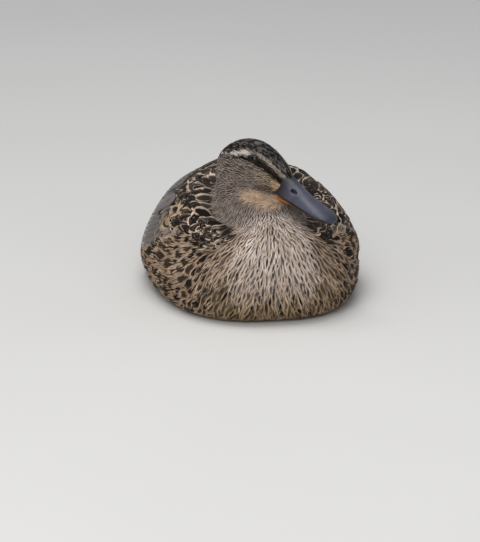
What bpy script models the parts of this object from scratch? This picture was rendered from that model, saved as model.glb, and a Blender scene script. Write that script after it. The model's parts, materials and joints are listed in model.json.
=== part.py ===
"""A resting female mallard, life size, as a still museum model.

The bird sits on its belly on the floor (z = 0) and faces -Y, so its right side is -X.
Its neck is drawn in, its head is turned to its left with the bill dropped towards the
shoulder, and both wings are let down a little, as a hen holds them over a brood.
All sizes are metres and reach to the tips of the plumage.
"""

import math

import bmesh
import bpy
import numpy as np
from mathutils import Matrix, Vector

# ---------------------------------------------------------------- driving sizes
FIT_GAP = 0.0003  # between pieces that touch
CUT_GAP = 0.0004  # between pieces parted by a flat cut
VOXEL = 0.003  # grid that blends trunk, neck and head into one form
BODY_TRIANGLES = 2900  # of the blended form, before it is parted

# The trunk: stations from the breast to the tail root.
#            y,  half width, underside, widest level, top
TRUNK = (
    (-0.104, 0.004, 0.036, 0.044, 0.052),
    (-0.099, 0.030, 0.012, 0.038, 0.070),
    (-0.085, 0.052, 0.000, 0.034, 0.084),
    (-0.062, 0.069, -0.006, 0.031, 0.096),
    (-0.030, 0.081, -0.008, 0.029, 0.107),
    (0.008, 0.0855, -0.008, 0.026, 0.1125),
    (0.045, 0.083, -0.008, 0.022, 0.1055),
    (0.082, 0.074, -0.004, 0.021, 0.094),
    (0.118, 0.060, 0.004, 0.024, 0.081),
    (0.150, 0.042, 0.015, 0.031, 0.068),
    (0.175, 0.024, 0.027, 0.039, 0.056),
    (0.188, 0.004, 0.037, 0.041, 0.047),
)
TOP_POWER, LOW_POWER = 1.62, 3.4  # how square the section is above and below its widest

# The mantle of the lowered wings, which hangs outside the trunk.
MANTLE = (
    (-0.058, 0.0735, 0.000, 0.034, 0.0985),
    (-0.042, 0.0805, -0.004, 0.032, 0.1065),
    (-0.018, 0.0865, -0.008, 0.030, 0.1125),
    (0.012, 0.0895, -0.008, 0.027, 0.114),
    (0.045, 0.0880, -0.008, 0.022, 0.107),
    (0.080, 0.081, -0.008, 0.018, 0.096),
    (0.115, 0.0715, -0.006, 0.017, 0.084),
    (0.150, 0.061, 0.000, 0.018, 0.072),
    (0.185, 0.049, 0.004, 0.020, 0.061),
    (0.218, 0.034, 0.010, 0.024, 0.050),
)
WING_THICKNESS = 0.0050
# The closed wing seen from the side, from the shoulder round by the tips: y, z.
WING_OUTLINE = (
    (-0.040, 0.068),
    (-0.022, 0.087),
    (0.020, 0.098),
    (0.060, 0.088),
    (0.100, 0.076),
    (0.152, 0.060),
    (0.204, 0.044),
    (0.198, 0.034),
    (0.172, 0.023),
    (0.138, 0.012),
    (0.104, 0.005),
    (0.072, 0.006),
    (0.040, 0.015),
    (0.005, 0.030),
    (-0.030, 0.048),
)
FLIGHT_FROM = (0.020, 0.000)  # the flight feathers begin on a line from here ...
FLIGHT_TO = (0.090, 0.100)  # ... to here (y, z)

# The neck: x, y, z and radius along its drawn-in curve.
NECK = (
    (0.006, -0.030, 0.056, 0.0465),
    (0.000, -0.034, 0.076, 0.0415),
    (-0.008, -0.030, 0.094, 0.0335),
    (-0.013, -0.027, 0.107, 0.0280),
    (-0.015, -0.026, 0.117, 0.0180),
)

# The head has a frame of its own, at the middle of the bill's base.
BILL_ROOT = Vector((0.0118, -0.0617, 0.1042))
HEAD_TURN, HEAD_DROP, HEAD_ROLL = (math.radians(a) for a in (38.0, 15.6, 2.0))
#    along, half width, chin, widest level, crown
HEAD = (
    (-0.0670, 0.0030, -0.0110, -0.0070, -0.0030),
    (-0.0620, 0.0110, -0.0190, -0.0020, 0.0062),
    (-0.0535, 0.0160, -0.0235, 0.0010, 0.0164),
    (-0.0430, 0.0185, -0.0245, 0.0030, 0.0220),
    (-0.0330, 0.0188, -0.0230, 0.0040, 0.0236),
    (-0.0240, 0.0177, -0.0200, 0.0050, 0.0234),
    (-0.0140, 0.0152, -0.0160, 0.0050, 0.0201),
    (-0.0060, 0.0127, -0.0125, 0.0035, 0.0158),
    (-0.0015, 0.0106, -0.0105, 0.0020, 0.0138),
    (0.0010, 0.0070, -0.0060, 0.0020, 0.0118),
)
FACE_LEAN, FACE_FROM, FACE_TO = 0.5, -0.0200, 0.0015  # the face slopes back to the chin
HEAD_BALL = (-0.0300, 0.0, 0.0030)  # the head is parted from the neck by a ball here ...
HEAD_BALL_RADII = (0.0440, 0.0340, 0.0300)  # ... of this size along, out and up
EYE_PLACE = (-0.0244, 0.0101, 0.0141)  # along, out and up from the bill's root
EYE_RADIUS = 0.0048

# The bill: stations from inside the head to the tip.
#    along, half width, underside, widest level, ridge
UPPER_BILL = (
    (-0.0060, 0.0094, -0.0060, -0.0030, 0.0132),
    (0.0000, 0.0097, -0.0058, -0.0030, 0.0128),
    (0.0070, 0.0097, -0.0055, -0.0031, 0.0113),
    (0.0175, 0.0093, -0.0053, -0.0035, 0.0074),
    (0.0290, 0.0094, -0.0052, -0.0039, 0.0038),
    (0.0400, 0.0101, -0.0054, -0.0041, 0.0014),
    (0.0475, 0.0099, -0.0054, -0.0039, 0.0002),
    (0.0535, 0.0070, -0.0058, -0.0041, -0.0012),
    (0.0566, 0.0029, -0.0067, -0.0048, -0.0031),
)
LOWER_BILL = (
    (-0.0060, 0.0083, -0.0110, -0.0082, -0.0066),
    (0.0000, 0.0085, -0.0107, -0.0080, -0.0064),
    (0.0115, 0.0081, -0.0098, -0.0072, -0.0059),
    (0.0270, 0.0077, -0.0088, -0.0068, -0.0056),
    (0.0410, 0.0081, -0.0083, -0.0069, -0.0058),
    (0.0500, 0.0069, -0.0080, -0.0069, -0.0060),
    (0.0538, 0.0027, -0.0076, -0.0070, -0.0064),
)
NOSTRIL_PLACE = (0.0165, 0.0064, 0.0040)  # along, out and up
NOSTRIL_SIZE = (0.0034, 0.0030, 0.0013)
NAIL_LENGTH, NAIL_WIDTH = 0.0080, 0.0072

# The tail: eighteen feathers closed into a wedge.
TAIL_ROOT = Vector((0.0, 0.158, 0.045))
TAIL_LENGTH, TAIL_ROOT_WIDTH, TAIL_TIP_WIDTH = 0.085, 0.036, 0.064
TAIL_THICKNESS, TAIL_DROP = 0.0036, math.radians(15.0)
TAIL_POINTS = 9  # feather tips that show along its end

# The feet, folded forward flat under the belly.
FOOT_ROOT = (0.040, -0.004)  # x (out) and y of the toes' common root
TOE_LENGTHS, TOE_SPREADS = (0.044, 0.052, 0.047), (-27.0, -2.0, 24.0)
TOE_RADIUS, WEB_THICKNESS, SHANK_LENGTH, SHANK_RADIUS = 0.0031, 0.0024, 0.043, 0.0036
NOTCH_MARGIN, NOTCH_HEIGHT = 0.0016, 0.0092


# ---------------------------------------------------------------- helpers
def clear_scene():
    for obj in list(bpy.data.objects):
        bpy.data.objects.remove(obj, do_unlink=True)


def new_collection(name):
    made = bpy.data.collections.new(name)
    bpy.context.scene.collection.children.link(made)
    return made


def mesh_object(name, mesh, collection):
    obj = bpy.data.objects.new(name, mesh)
    collection.objects.link(obj)
    return obj


def smooth_stations(stations, count):
    """The stations' values on a Catmull-Rom curve, at count even steps of the index."""
    rows = np.array(stations, float)
    ends = np.vstack([2 * rows[0] - rows[1], rows, 2 * rows[-1] - rows[-2]])
    found = []
    for at in np.linspace(0, len(rows) - 1, count):
        i = min(int(at), len(rows) - 2)
        t = at - i
        a, b, c, d = ends[i : i + 4]
        found.append(
            0.5 * (2 * b + (c - a) * t + (2 * a - 5 * b + 4 * c - d) * t * t
                   + (3 * b - a - 3 * c + d) * t ** 3)
        )
    return np.array(found)


def rounded_section(half_width, low, middle, high, segments, powers=(2.0, 2.0)):
    """(across, up) points of an oval whose upper and lower halves may be squarer."""
    found = []
    for k in range(segments):
        turn = 2 * math.pi * k / segments
        c, s = math.cos(turn), math.sin(turn)
        power = powers[0] if s >= 0 else powers[1]
        across = half_width * math.copysign(abs(c) ** (2 / power), c)
        reach = high - middle if s >= 0 else middle - low
        found.append((across, middle + reach * math.copysign(abs(s) ** (2 / power), s)))
    return found


def loft(name, rings, collection):
    """A closed mesh through rings that hold the same number of points."""
    build = bmesh.new()
    rows = [[build.verts.new(p) for p in ring] for ring in rings]
    for before, after in zip(rows, rows[1:]):
        for k in range(len(before)):
            j = (k + 1) % len(before)
            build.faces.new((before[k], before[j], after[j], after[k]))
    build.faces.new(rows[0][::-1])
    build.faces.new(rows[-1])
    bmesh.ops.recalc_face_normals(build, faces=build.faces)
    mesh = bpy.data.meshes.new(name)
    build.to_mesh(mesh)
    build.free()
    return mesh_object(name, mesh, collection)


def along_y(name, stations, count, segments, collection, powers):
    """A loft of ovals that stand across the Y axis."""
    rings = []
    for y, half, low, middle, high in smooth_stations(stations, count):
        oval = rounded_section(max(half, 0.002), low, middle, high, segments, powers)
        rings.append([(x, y, z) for x, z in oval])
    return loft(name, rings, collection)


def head_matrix():
    """Head frame to world: X along the bill, Y to the bird's left, Z up."""
    turn = Matrix.Rotation(HEAD_TURN - math.pi / 2, 4, "Z")
    drop = Matrix.Rotation(HEAD_DROP, 4, "Y")
    roll = Matrix.Rotation(HEAD_ROLL, 4, "X")
    return Matrix.Translation(BILL_ROOT) @ turn @ drop @ roll


def along_head(name, stations, count, segments, collection, powers=(2.0, 2.0), lean=0.0):
    """A loft of ovals across the bill's axis; towards the face they lean by this slope."""
    place = head_matrix()
    rings = []
    for at, half, low, middle, high in smooth_stations(stations, count):
        share = min(max((at - FACE_FROM) / (FACE_TO - FACE_FROM), 0.0), 1.0)
        slope = lean * share
        oval = rounded_section(max(half, 0.001), low, middle, high, segments, powers)
        rings.append([place @ Vector((at + slope * z, y, z)) for y, z in oval])
    return loft(name, rings, collection)


def tube_along(name, stations, count, segments, collection):
    """A loft of circles across a curve, given as x, y, z and radius."""
    rows = smooth_stations(stations, count)
    rings = []
    for i, row in enumerate(rows):
        here, radius = Vector(row[:3]), row[3]
        ahead = Vector(rows[min(i + 1, len(rows) - 1)][:3])
        back = Vector(rows[max(i - 1, 0)][:3])
        turn = (ahead - back).to_track_quat("Z", "Y").to_matrix()
        angles = [2 * math.pi * k / segments for k in range(segments)]
        rings.append(
            [here + turn @ Vector((radius * math.cos(a), radius * math.sin(a), 0)) for a in angles]
        )
    return loft(name, rings, collection)


def flat_outline(name, points, thickness, collection):
    """A flat plate with this outline in its own XY plane, as a mesh."""
    curve = bpy.data.curves.new(name, "CURVE")
    curve.dimensions, curve.fill_mode, curve.extrude = "2D", "BOTH", thickness / 2
    line = curve.splines.new("POLY")
    line.points.add(len(points) - 1)
    for spot, (x, y) in zip(line.points, points):
        spot.co = (x, y, 0, 1)
    line.use_cyclic_u = True
    return meshed(mesh_object(name, curve, collection), collection)


def meshed(obj, collection):
    """The object's evaluated shape as a plain mesh object, welded, in its place."""
    name, place = obj.name, obj.matrix_world.copy()
    bpy.context.view_layer.update()
    graph = bpy.context.evaluated_depsgraph_get()
    mesh = bpy.data.meshes.new_from_object(obj.evaluated_get(graph))
    bpy.data.objects.remove(obj, do_unlink=True)
    build = bmesh.new()
    build.from_mesh(mesh)
    bmesh.ops.remove_doubles(build, verts=build.verts, dist=1e-6)
    bmesh.ops.recalc_face_normals(build, faces=build.faces)
    build.to_mesh(mesh)
    build.free()
    mesh.name = name
    made = mesh_object(name, mesh, collection)
    made.matrix_world = place
    return made


def placed(obj, matrix):
    """The object with this place moved into its mesh."""
    obj.data.transform(matrix)
    return obj


def combine(obj, other, operation):
    modifier = obj.modifiers.new(operation.lower(), "BOOLEAN")
    modifier.operation, modifier.solver, modifier.object = operation, "EXACT", other


def grown(obj, name, amount, collection):
    """A copy of the object's shape, moved out along its normals."""
    bpy.context.view_layer.update()
    graph = bpy.context.evaluated_depsgraph_get()
    mesh = bpy.data.meshes.new_from_object(obj.evaluated_get(graph))
    mesh.transform(obj.matrix_world)
    copy = mesh_object(name, mesh, collection)
    swell = copy.modifiers.new("swell", "DISPLACE")
    swell.strength, swell.mid_level = amount, 0.0
    return meshed(copy, collection)


def block(name, low, high, collection, turn=None):
    """A box cutter between two corners, turned about its own middle."""
    build = bmesh.new()
    bmesh.ops.create_cube(build, size=1.0)
    middle = (Vector(low) + Vector(high)) / 2
    sides = Vector(high) - Vector(low)
    rotation = turn.to_4x4() if turn else Matrix.Identity(4)
    build.transform(Matrix.Translation(middle) @ rotation @ Matrix.Diagonal((*sides, 1.0)))
    mesh = bpy.data.meshes.new(name)
    build.to_mesh(mesh)
    build.free()
    return mesh_object(name, mesh, collection)


def ball(name, centre, radii, turn, collection, segments=24, rings=14):
    """An ellipsoid with these radii along the axes of turn."""
    build = bmesh.new()
    bmesh.ops.create_uvsphere(build, u_segments=segments, v_segments=rings, radius=1.0)
    build.transform(Matrix.Translation(centre) @ turn.to_4x4() @ Matrix.Diagonal((*radii, 1.0)))
    mesh = bpy.data.meshes.new(name)
    build.to_mesh(mesh)
    build.free()
    return mesh_object(name, mesh, collection)


def finish(material, roughness, *objects):
    """Gives the objects one plain finish and smooth shading."""
    made = bpy.data.materials.get(material[0]) or bpy.data.materials.new(material[0])
    made.use_nodes = True
    surface = made.node_tree.nodes["Principled BSDF"]
    surface.inputs["Base Color"].default_value = (*material[1], 1.0)
    surface.inputs["Roughness"].default_value = roughness
    surface.inputs["Metallic"].default_value = 0.0
    for obj in objects:
        obj.data.materials.clear()
        obj.data.materials.append(made)
        obj.data.shade_smooth()
        obj.data.set_sharp_from_angle(angle=math.radians(40))


# ---------------------------------------------------------------- the flesh
def blended_body(tools):
    """Trunk, neck and head as one smooth closed form."""
    trunk = along_y("trunk_form", TRUNK, 34, 36, tools, (TOP_POWER, LOW_POWER))
    neck = tube_along("neck_form", NECK, 14, 28, tools)
    head = along_head("head_form", HEAD, 24, 28, tools, (2.3, 2.0), FACE_LEAN)
    combine(trunk, neck, "UNION")
    combine(trunk, head, "UNION")
    body = meshed(trunk, tools)
    net = body.modifiers.new("net", "REMESH")
    net.mode, net.voxel_size = "VOXEL", VOXEL
    soften = body.modifiers.new("soften", "SMOOTH")
    soften.factor, soften.iterations = 0.5, 7
    body = meshed(body, tools)
    faces = sum(len(p.vertices) - 2 for p in body.data.polygons)
    thin = body.modifiers.new("thin", "DECIMATE")
    thin.ratio = BODY_TRIANGLES / faces
    body = meshed(body, tools)
    for helper in (neck, head):
        helper.hide_render, helper.display_type = True, "WIRE"
    return body


def part_flesh(body, parts, tools):
    """Cuts the blended form into trunk, neck and head, and flattens its seat."""
    reach = 0.4
    turn = head_matrix().to_3x3()
    middle = head_matrix() @ Vector(HEAD_BALL)
    head_side = ball("head_side", middle, HEAD_BALL_RADII, turn, tools, 28, 16)
    spare = [radius + CUT_GAP for radius in HEAD_BALL_RADII]
    head_away = ball("head_away", middle, spare, turn, tools, 28, 16)
    shoulder = Vector((0.0, -0.052, 0.094))
    slope = Matrix.Rotation(math.radians(24), 3, "X")
    above_neck = slope @ Vector((0, 0, reach / 2 + CUT_GAP / 2))
    half = Vector((reach / 2,) * 3)
    neck_side = block("neck_side", shoulder + above_neck - half, shoulder + above_neck + half,
                      tools, slope)
    trunk_side = block("trunk_side", shoulder - above_neck - half, shoulder - above_neck + half,
                       tools, slope)
    floor = block("floor_side", (-reach, -reach, 0.0), (reach, reach, reach), tools)
    made = {}
    for name, cutters in (
        ("head", (("INTERSECT", head_side),)),
        ("neck", (("DIFFERENCE", head_away), ("INTERSECT", neck_side))),
        ("trunk", (("DIFFERENCE", head_away), ("INTERSECT", trunk_side), ("INTERSECT", floor))),
    ):
        made[name] = mesh_object(name, body.data.copy(), parts)
        for operation, cutter in cutters:
            combine(made[name], cutter, operation)
        made[name] = meshed(made[name], parts)
    return made


# ---------------------------------------------------------------- head fittings
def add_eyes(head, parts, tools):
    """An eyeball in a socket on each side."""
    place, turn = head_matrix(), head_matrix().to_3x3()
    along, out, up = EYE_PLACE
    eyes = []
    for name, side in (("eye_left", 1), ("eye_right", -1)):
        centre = place @ Vector((along, out * side, up))
        eyes.append(ball(name, centre, (EYE_RADIUS,) * 3, turn, parts, 16, 10))
        socket = ball(name + "_socket", centre, (EYE_RADIUS + FIT_GAP,) * 3, turn, tools, 16, 10)
        combine(head, socket, "DIFFERENCE")
    return eyes


def add_bill(body, parts, tools):
    """Upper and lower bill, with the nail at the tip and a nostril on each side."""
    place, turn = head_matrix(), head_matrix().to_3x3()
    upper = along_head("bill_upper", UPPER_BILL, 18, 18, parts, (1.9, 2.6))
    lower = along_head("bill_lower", LOWER_BILL, 12, 16, parts, (4.0, 2.2))
    face = grown(body, "face_form", FIT_GAP, tools)
    along, out, up = NOSTRIL_PLACE
    for side in (1, -1):
        centre = place @ Vector((along, out * side, up))
        slant = turn @ Matrix.Rotation(math.radians(14), 3, "Y")
        pit = ball(f"nostril_{side}", centre, NOSTRIL_SIZE, slant, tools, 16, 10)
        combine(upper, pit, "DIFFERENCE")
    tip = place @ Vector((UPPER_BILL[-1][0], 0, -0.0035))
    radii = (NAIL_LENGTH, NAIL_WIDTH / 2, NAIL_LENGTH)
    nail_core = ball("nail_core", tip, radii, turn, tools, 16, 10)
    nail_seat = ball("nail_seat", tip, [r + FIT_GAP for r in radii], turn, tools, 16, 10)
    nail = mesh_object("bill_nail", upper.data.copy(), parts)
    combine(nail, nail_core, "INTERSECT")
    combine(upper, nail_seat, "DIFFERENCE")
    for piece in (upper, lower):
        combine(piece, face, "DIFFERENCE")
    return upper, lower, nail


# ---------------------------------------------------------------- wings and tail
def inside_mantle(name, depth, tools):
    """The mantle's form drawn in by this depth, and a little longer at both ends."""
    rows = [(y, half - depth, low - 0.02, middle, high - depth)
            for y, half, low, middle, high in MANTLE]
    rows[0] = (rows[0][0] - 0.01, *rows[0][1:])
    rows[-1] = (rows[-1][0] + 0.01, *rows[-1][1:])
    return along_y(name, rows, 18, 28, tools, (TOP_POWER, LOW_POWER))


def wing_plate(name, side, spread, tools):
    """The wing's outline as a thick block beside the body, spread out by this much."""
    outline = np.array(smooth_outline(WING_OUTLINE, 3))
    middle = outline.mean(axis=0)
    reach = outline - middle
    outline = outline + reach / np.linalg.norm(reach, axis=1)[:, None] * spread
    plate = flat_outline(name, [tuple(p) for p in outline], 0.12, tools)
    stand = Matrix(((0, 0, 1, 0.0601 * side), (1, 0, 0, 0), (0, 1, 0, 0), (0, 0, 0, 1)))
    return placed(plate, stand)


def add_wing(side, trunk, parts, tools):
    """One lowered wing, parted into its covert part and its flight feathers."""
    word = "left" if side > 0 else "right"
    mantle = along_y(f"mantle_{word}", MANTLE, 22, 32, tools, (TOP_POWER, LOW_POWER))
    whole = wing_plate(f"wing_plate_{word}", side, 0.0, tools)
    combine(whole, mantle, "INTERSECT")
    combine(whole, inside_mantle(f"lining_{word}", WING_THICKNESS, tools), "DIFFERENCE")
    whole = largest_piece(meshed(whole, tools))
    bed = wing_plate(f"wing_bed_{word}", side, FIT_GAP, tools)
    combine(bed, inside_mantle(f"bed_{word}", WING_THICKNESS + FIT_GAP, tools), "DIFFERENCE")
    combine(trunk, bed, "DIFFERENCE")
    start, end = Vector((0, *FLIGHT_FROM)), Vector((0, *FLIGHT_TO))
    angle = math.atan2((end - start).z, (end - start).y)
    turn = Matrix.Rotation(angle, 3, "X")
    middle = (start + end) / 2
    made = []
    for name, sign in ((f"wing_{word}", 1), (f"flight_feathers_{word}", -1)):
        shift = turn @ Vector((0, 0, sign * (0.2 + CUT_GAP / 2)))
        cutter = block(f"{name}_side", middle + shift - Vector((0.2, 0.2, 0.2)),
                       middle + shift + Vector((0.2, 0.2, 0.2)), tools, turn)
        piece = mesh_object(name, whole.data.copy(), parts)
        combine(piece, cutter, "INTERSECT")
        made.append(largest_piece(meshed(piece, parts)))
    return made


def smooth_outline(points, steps):
    """A closed outline with steps points on each stretch, on a Catmull-Rom curve."""
    rows = np.array(points, float)
    found = []
    for i in range(len(rows)):
        a, b, c, d = (rows[(i + k) % len(rows)] for k in (-1, 0, 1, 2))
        for t in np.arange(steps) / steps:
            found.append(
                0.5 * (2 * b + (c - a) * t + (2 * a - 5 * b + 4 * c - d) * t * t
                       + (3 * b - a - 3 * c + d) * t ** 3)
            )
    return found


def largest_piece(obj):
    """Leaves only the body with the most vertices in the object's mesh."""
    build = bmesh.new()
    build.from_mesh(obj.data)
    left, groups = set(build.verts), []
    while left:
        group, edge = set(), [left.pop()]
        while edge:
            vertex = edge.pop()
            group.add(vertex)
            near = {e.other_vert(vertex) for e in vertex.link_edges} & left
            left -= near
            edge.extend(near)
        groups.append(group)
    groups.sort(key=len)
    for group in groups[:-1]:
        bmesh.ops.delete(build, geom=list(group), context="VERTS")
    build.to_mesh(obj.data)
    build.free()
    return obj


def add_tail(trunk_grown, parts, tools):
    """The closed tail: a low wedge whose end shows the feathers' points."""
    sides = []
    for k in range(2 * TAIL_POINTS + 1):
        share = k / (2 * TAIL_POINTS) * 2 - 1
        arc = TAIL_LENGTH * (1 - 0.26 * share * share)
        point = arc if k % 2 else arc - 0.0075
        sides.append((share * TAIL_TIP_WIDTH / 2, point))
    root = TAIL_ROOT_WIDTH / 2
    outline = [(-root, -0.012), (root, -0.012), *reversed(sides)]
    tail = flat_outline("tail", outline, TAIL_THICKNESS, parts)
    place = Matrix.Translation(TAIL_ROOT) @ Matrix.Rotation(-TAIL_DROP, 4, "X")
    placed(tail, place)
    combine(tail, trunk_grown, "DIFFERENCE")
    return largest_piece(meshed(tail, parts))


# ---------------------------------------------------------------- feet
def toe_tips(side):
    """The root and the three toe tips of one foot, in plan."""
    root = Vector((FOOT_ROOT[0] * side, FOOT_ROOT[1]))
    tips = []
    for length, spread in zip(TOE_LENGTHS, TOE_SPREADS):
        a = math.radians(spread) * side
        tips.append(root + length * Vector((math.sin(a), -math.cos(a))))
    return root, tips


def toe(name, start, end, collection):
    """A tapering toe with a rounded top, lying on the floor."""
    run = Vector((*end, TOE_RADIUS * 0.35)) - Vector((*start, TOE_RADIUS * 0.8))
    build = bmesh.new()
    bmesh.ops.create_cone(build, cap_ends=True, segments=10, radius1=TOE_RADIUS * 1.15,
                          radius2=TOE_RADIUS * 0.45, depth=run.length)
    turn = run.to_track_quat("Z", "Y").to_matrix().to_4x4()
    middle = Vector((*start, TOE_RADIUS * 0.8)) + run / 2
    build.transform(Matrix.Translation(middle) @ turn)
    mesh = bpy.data.meshes.new(name)
    build.to_mesh(mesh)
    build.free()
    return mesh_object(name, mesh, collection)


def add_foot(side, trunk, parts, tools):
    """One webbed foot and its shank, folded under the belly in a hollow of the trunk."""
    word = "left" if side > 0 else "right"
    root, tips = toe_tips(side)
    heel = root + Vector((0.004 * side, SHANK_LENGTH))
    web = [root + Vector((0.0, 0.003))]
    for tip, after in zip(tips, tips[1:] + [None]):
        web.append(root + (tip - root) * 0.93)
        if after is not None:
            web.append(root + ((tip + after) / 2 - root) * 0.86)
    if side < 0:
        web.reverse()
    foot = flat_outline(f"foot_{word}", [tuple(p) for p in web], WEB_THICKNESS, parts)
    placed(foot, Matrix.Translation((0, 0, WEB_THICKNESS / 2 + 0.0001)))
    for k, tip in enumerate(tips):
        combine(foot, toe(f"toe_{word}_{k}", root, tip, tools), "UNION")
    floor = block(f"foot_floor_{word}", (-0.2, -0.2, 0.0), (0.2, 0.2, 0.1), tools)
    combine(foot, floor, "INTERSECT")
    foot = largest_piece(meshed(foot, parts))
    start = root + (heel - root).normalized() * (TOE_RADIUS * 1.5 + FIT_GAP)
    leg = block(f"leg_{word}", (-SHANK_RADIUS, 0.0, 0.0),
                (SHANK_RADIUS, (heel - start).length, 2 * SHANK_RADIUS), parts)
    angle = math.atan2(-(heel - start).x, (heel - start).y)
    placed(leg, Matrix.Translation((*start, 0.0)) @ Matrix.Rotation(angle, 4, "Z"))
    soften = leg.modifiers.new("soften", "BEVEL")
    soften.width, soften.segments = SHANK_RADIUS * 0.55, 2
    behind = foot.data.copy()
    foot_grown = mesh_object(f"foot_form_{word}", behind, tools)
    swell = foot_grown.modifiers.new("swell", "DISPLACE")
    swell.strength, swell.mid_level = FIT_GAP, 0.0
    foot_grown = meshed(foot_grown, tools)
    combine(leg, foot_grown, "DIFFERENCE")
    hollow = [tip + (tip - root).normalized() * NOTCH_MARGIN for tip in tips]
    spread = Vector((SHANK_RADIUS + NOTCH_MARGIN, 0.0))
    back = heel + Vector((0.0, NOTCH_MARGIN))
    margin = Vector((NOTCH_MARGIN * side, 0))
    edge = [hollow[0] - margin, hollow[1], hollow[2] + margin,
            root + spread * side * 1.6, back + spread * side,
            back - spread * side, root - spread * side * 1.6]
    if side > 0:
        edge.reverse()
    notch = flat_outline(f"notch_{word}", [tuple(p) for p in edge], NOTCH_HEIGHT * 2, tools)
    combine(trunk, notch, "DIFFERENCE")
    return [foot, leg]


# ---------------------------------------------------------------- the whole bird
def main():
    clear_scene()
    parts = new_collection("resting_duck")
    tools = new_collection("helpers")
    body = blended_body(tools)
    flesh = part_flesh(body, parts, tools)
    trunk_grown = grown(flesh["trunk"], "trunk_form_grown", FIT_GAP, tools)
    bill = add_bill(body, parts, tools)
    eyes = add_eyes(flesh["head"], parts, tools)
    wings = add_wing(1, flesh["trunk"], parts, tools) + add_wing(-1, flesh["trunk"], parts, tools)
    tail = add_tail(trunk_grown, parts, tools)
    feet = add_foot(1, flesh["trunk"], parts, tools) + add_foot(-1, flesh["trunk"], parts, tools)
    for helper in tools.objects:
        helper.hide_render, helper.display_type = True, "WIRE"
    finish(("streaked_buff", (0.36, 0.29, 0.23)), 0.85, flesh["trunk"], flesh["neck"])
    finish(("head_brown", (0.26, 0.22, 0.19)), 0.85, flesh["head"])
    finish(("wing_brown", (0.17, 0.14, 0.12)), 0.8, *wings[0::2])
    finish(("flight_grey", (0.27, 0.26, 0.26)), 0.7, *wings[1::2])
    finish(("tail_brown", (0.24, 0.19, 0.15)), 0.8, tail)
    finish(("bill_slate", (0.10, 0.10, 0.13)), 0.45, bill[0], bill[2])
    finish(("bill_orange", (0.36, 0.17, 0.06)), 0.5, bill[1])
    finish(("eye_brown", (0.03, 0.018, 0.012)), 0.08, *eyes)
    finish(("foot_orange", (0.62, 0.22, 0.05)), 0.6, *feet)


main()
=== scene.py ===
# %% [markdown]
# # A hen mallard at rest, in solid feathers
# The finished bird is a skin with several thousand feathers on it. The frame holds the solids that give
# her size and outline. This script puts one skin inside them, lays the plumage on it tract by tract, and
# then makes the parts that carry no feathers: bill, eyes and feet.

# %% Load the frame
import json
import math
from functools import partialmethod
from itertools import product

import bmesh
import bpy
import numpy as np
from mathutils import Matrix, Vector
from mathutils.bvhtree import BVHTree

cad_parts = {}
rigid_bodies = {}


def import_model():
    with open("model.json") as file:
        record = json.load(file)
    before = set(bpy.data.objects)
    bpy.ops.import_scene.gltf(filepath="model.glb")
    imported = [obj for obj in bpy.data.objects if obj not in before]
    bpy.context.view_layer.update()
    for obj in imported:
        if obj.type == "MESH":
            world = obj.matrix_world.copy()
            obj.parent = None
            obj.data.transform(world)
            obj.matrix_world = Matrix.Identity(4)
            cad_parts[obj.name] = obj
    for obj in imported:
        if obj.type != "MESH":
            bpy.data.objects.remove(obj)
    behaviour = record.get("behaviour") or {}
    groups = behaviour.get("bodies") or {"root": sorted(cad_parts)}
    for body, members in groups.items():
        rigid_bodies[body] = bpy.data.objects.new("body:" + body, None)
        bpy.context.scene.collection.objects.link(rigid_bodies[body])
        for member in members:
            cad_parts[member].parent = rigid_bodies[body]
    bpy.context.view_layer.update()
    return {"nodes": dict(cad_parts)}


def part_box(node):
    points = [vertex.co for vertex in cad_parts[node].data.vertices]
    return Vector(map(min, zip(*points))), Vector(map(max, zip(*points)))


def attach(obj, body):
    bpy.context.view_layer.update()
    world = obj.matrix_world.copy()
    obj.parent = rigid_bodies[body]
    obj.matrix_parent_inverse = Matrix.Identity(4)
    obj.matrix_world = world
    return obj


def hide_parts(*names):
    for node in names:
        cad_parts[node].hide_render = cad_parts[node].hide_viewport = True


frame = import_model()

MM = 0.001
print("solids:", sorted(frame["nodes"]))

# %% [markdown]
# ## Helpers
# A few kinds of help come back all through the file. Colours are written as sRGB hex codes, which people
# read easily, and turned to the linear numbers that a renderer needs. Fields are numpy functions of place:
# they say how long, how dark or which way round a feather is anywhere on the bird. One function adds a
# node to a tree, for shaders and Geometry Nodes alike, and a small class lets sums between nodes be written
# as plain sums. The rest turn meshes into numpy arrays and back, and put pieces on the bird.

# %% Colours and fields
def linear(code):
    """An sRGB hex colour as linear red, green and blue."""
    channels = np.array([int(code[i : i + 2], 16) for i in (1, 3, 5)]) / 255
    return np.where(channels <= 0.04045, channels / 12.92, ((channels + 0.055) / 1.055) ** 2.4)


def ramp(value, low, high):
    """0 at low and 1 at high, turning smoothly at both."""
    share = np.clip((value - low) / (high - low), 0, 1)
    return share * share * (3 - 2 * share)


def hump(value, centre, half):
    """1 at the centre, falling smoothly to 0 a little past half a width to each side."""
    return 1 - ramp(np.abs(value - centre), 0.45 * half, 1.25 * half)


def mixed(first, second, share):
    """Between two values or rows of values, by a share for each row."""
    share = np.asarray(share)
    if max(np.ndim(first), np.ndim(second)) > share.ndim:
        share = share[..., None]
    return first + (second - first) * share


def unit(vectors):
    return vectors / np.maximum(np.linalg.norm(vectors, axis=-1, keepdims=True), 1e-12)


def along_surface(vectors, normals):
    """The part of each vector that runs along the surface, at length 1."""
    return unit(vectors - normals * np.sum(vectors * normals, axis=-1, keepdims=True))

# %% One function adds a node
def add(tree, kind, inputs=None, **settings):
    """A new node with its settings; each input is a number or what another node gives."""
    node = tree.nodes.new(kind)
    for name, value in settings.items():
        setattr(node, name, value)
    for name, value in (inputs or {}).items():
        if isinstance(value, Value):
            value = value.socket
        if isinstance(value, bpy.types.NodeSocket):
            tree.links.new(value, node.inputs[name])
        else:
            node.inputs[name].default_value = value
    return node


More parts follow.
